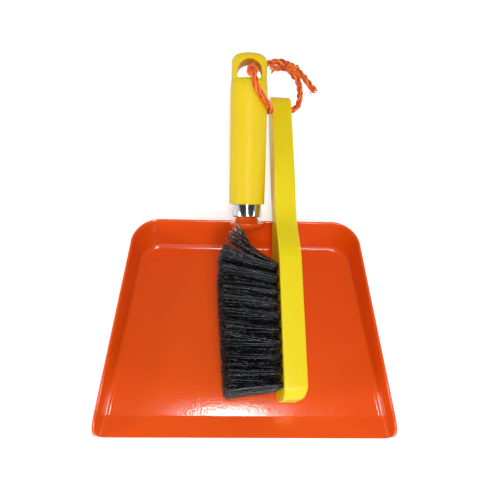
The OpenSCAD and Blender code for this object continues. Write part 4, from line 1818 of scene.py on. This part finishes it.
@dataclass
class Studio:
    """White floor, soft lamps and the camera.

    Attributes:
        target: Point on the floor that the camera faces.
        distance: Distance of the camera from it.
        elevation: Angle of the view below the horizon, in degrees.
        azimuth: Angle of the view from +Y towards +X, in degrees.
        roll: Lean of the camera, in degrees.
        card: Paleness of the floor.
        glow: Light that the floor adds where it is seen.
        ambient: Strength of the world's even light.
        ceiling: Brightness of the upper backdrop where it is seen or mirrored.
    """

    target: Vector = field(default_factory=lambda: Vector((0.005, 0.0918, 0.0)))
    distance: float = 0.6008
    elevation: float = 62.2
    azimuth: float = 4.97
    roll: float = 5.345
    lens: float = 42.42
    sensor: float = 36.0
    floor_size: float = 4.0
    card: float = 0.82
    glow: float = 0.45
    ambient: float = 0.44
    ceiling: float = 0.06
    lamps: tuple[Lamp, ...] = (
        Lamp("overhead_lamp", (0.0, -0.30, 1.25), (0.0, -0.07, 0.0), 0.15, 0.15, 2.9),
        Lamp("front_lamp", (0.045, -0.50, 1.02), (0.0, 0.1, 0.05), 0.06, 0.42, 1.3),
        Lamp("key_lamp", (0.15, -0.80, 0.95), (0.0, 0.06, 0.0), 0.2, 0.2, 5.2),
        Lamp("left_lamp", (-0.95, -0.35, 0.42), (0.0, 0.0, 0.02), 0.25, 0.25, 3.2),
        Lamp("right_lamp", (0.95, -0.35, 0.42), (0.0, 0.0, 0.02), 0.25, 0.25, 2.0))

    def add_camera(self) -> Piece:
        """Places the camera and makes it the scene's own.

        Returns:
            The camera.
        """
        data = bpy.data.cameras.new("studio_camera")
        data.lens = self.lens
        data.sensor_width = self.sensor
        data.clip_start = 0.01
        data.clip_end = 20.0
        camera = bpy.data.objects.new("studio_camera", data)
        rise, turn = math.radians(self.elevation), math.radians(self.azimuth)
        look = Vector((math.cos(rise) * math.sin(turn), math.cos(rise) * math.cos(turn),
                       -math.sin(rise)))
        right = look.cross(Vector((0, 0, 1))).normalized()
        up = right.cross(look)
        tilt = math.radians(self.roll)
        leaned_right = math.cos(tilt) * right + math.sin(tilt) * up
        leaned_up = math.cos(tilt) * up - math.sin(tilt) * right
        rotation = Matrix((leaned_right, leaned_up, -look)).transposed().to_4x4()
        camera.matrix_world = Matrix.Translation(self.target - look * self.distance) @ rotation
        bpy.context.scene.collection.objects.link(camera)
        bpy.context.scene.camera = camera
        return camera

    @staticmethod
    def _seen(sheet: NodeSheet) -> Socket:
        """Returns a mask of the rays that show the background: direct, mirrored or through glass."""
        rays = sheet.add("ShaderNodeLightPath").outputs
        direct = sheet.maths("MAXIMUM", rays["Is Camera Ray"], rays["Is Glossy Ray"])
        return sheet.maths("MAXIMUM", direct, rays["Is Transmission Ray"])

    def add_floor(self) -> Piece:
        """Lays the white floor, which shows the pieces' soft shadows.

        Returns:
            The floor.
        """
        bm = bmesh.new()
        bmesh.ops.create_grid(bm, x_segments=1, y_segments=1, size=self.floor_size)
        floor = finish_mesh("studio_floor", bm)
        material = bpy.data.materials.new("floor_card")
        material.use_nodes = True
        sheet = NodeSheet(material.node_tree)
        material.node_tree.nodes.clear()
        card = sheet.add("ShaderNodeBsdfDiffuse", {"Color": (self.card, self.card, self.card)})
        glow = sheet.add("ShaderNodeEmission", {
            "Color": (1.0, 1.0, 1.0),
            "Strength": sheet.maths("MULTIPLY", self._seen(sheet), self.glow)})
        both = sheet.add("ShaderNodeAddShader", {0: card.outputs[0], 1: glow.outputs[0]})
        sheet.add("ShaderNodeOutputMaterial", {"Surface": both.outputs[0]})
        floor.data.materials.append(material)
        return floor

    def light(self) -> None:
        """Sets the world and hangs the lamps."""
        world = bpy.data.worlds.new("studio_world")
        world.use_nodes = True
        bpy.context.scene.world = world
        sheet = NodeSheet(world.node_tree)
        background = next(n for n in world.node_tree.nodes if n.type == "BACKGROUND")
        seen = self._seen(sheet)
        parts = sheet.add("ShaderNodeSeparateXYZ", {
            0: sheet.add("ShaderNodeTexCoord").outputs["Generated"]})
        backdrop = sheet.span(parts.outputs["Z"], 0.3, 0.55, 1.0, self.ceiling)
        rest = sheet.maths("MULTIPLY", sheet.maths("SUBTRACT", 1.0, seen), self.ambient)
        shown = sheet.maths("MULTIPLY", backdrop, seen)
        sheet.fill(background, {"Color": (1.0, 1.0, 1.0),
                                "Strength": sheet.maths("ADD", shown, rest)})
        for lamp in self.lamps:
            lamp.hang()
        bpy.context.scene.view_settings.view_transform = "Standard"


# ------------------------------------------------------------------ assembly


def report(part: str, pieces: Iterable[Piece]) -> None:
    """Logs each piece of a sub-assembly with its number of faces."""
    for piece in pieces:
        LOG.info("%s piece %s: %d faces", part, piece.name, len(piece.data.polygons))


def main() -> None:
    """Builds the set in order: camera and cord, pan, handle, brush and studio."""
    logging.basicConfig(level=logging.INFO, format="%(name)s: %(message)s")
    studio = Studio()
    studio.add_camera()
    effects = Effects()
    report("cord", HangingCord().build(Rope("laid_fibre", effects).build()))
    pan = DustPan()
    paint = Paint("orange_paint", effects).build()
    report("pan", [pan.build_tray(paint), pan.build_neck(paint)])
    handle = Handle(pan)
    chrome = Chrome("chrome_plate", effects).build()
    sleeve = Plastic("grip_plastic", effects).build()
    report("handle", [handle.build_ferrule(chrome), handle.build_grip(sleeve),
                      handle.build_cap(sleeve)])
    brush = HandBrush(pan, handle)
    moulded = Plastic("brush_plastic", effects, color=(0.77, 0.63, 0.009),
                      shade=(0.73, 0.53, 0.008), roughness=0.33, glow=0.3, glow_depth=0.008)
    report("brush", [brush.build_body(moulded.build())])
    bristle = Bristle("black_filament", effects).build()
    report("brush", [brush.build_column(column, bristle) for column in range(brush.columns)])
    report("brush", [brush.dress_staples(Wire("staple_steel", effects).build())])
    studio.add_floor()
    studio.light()


if __name__ == "__main__":
    main()
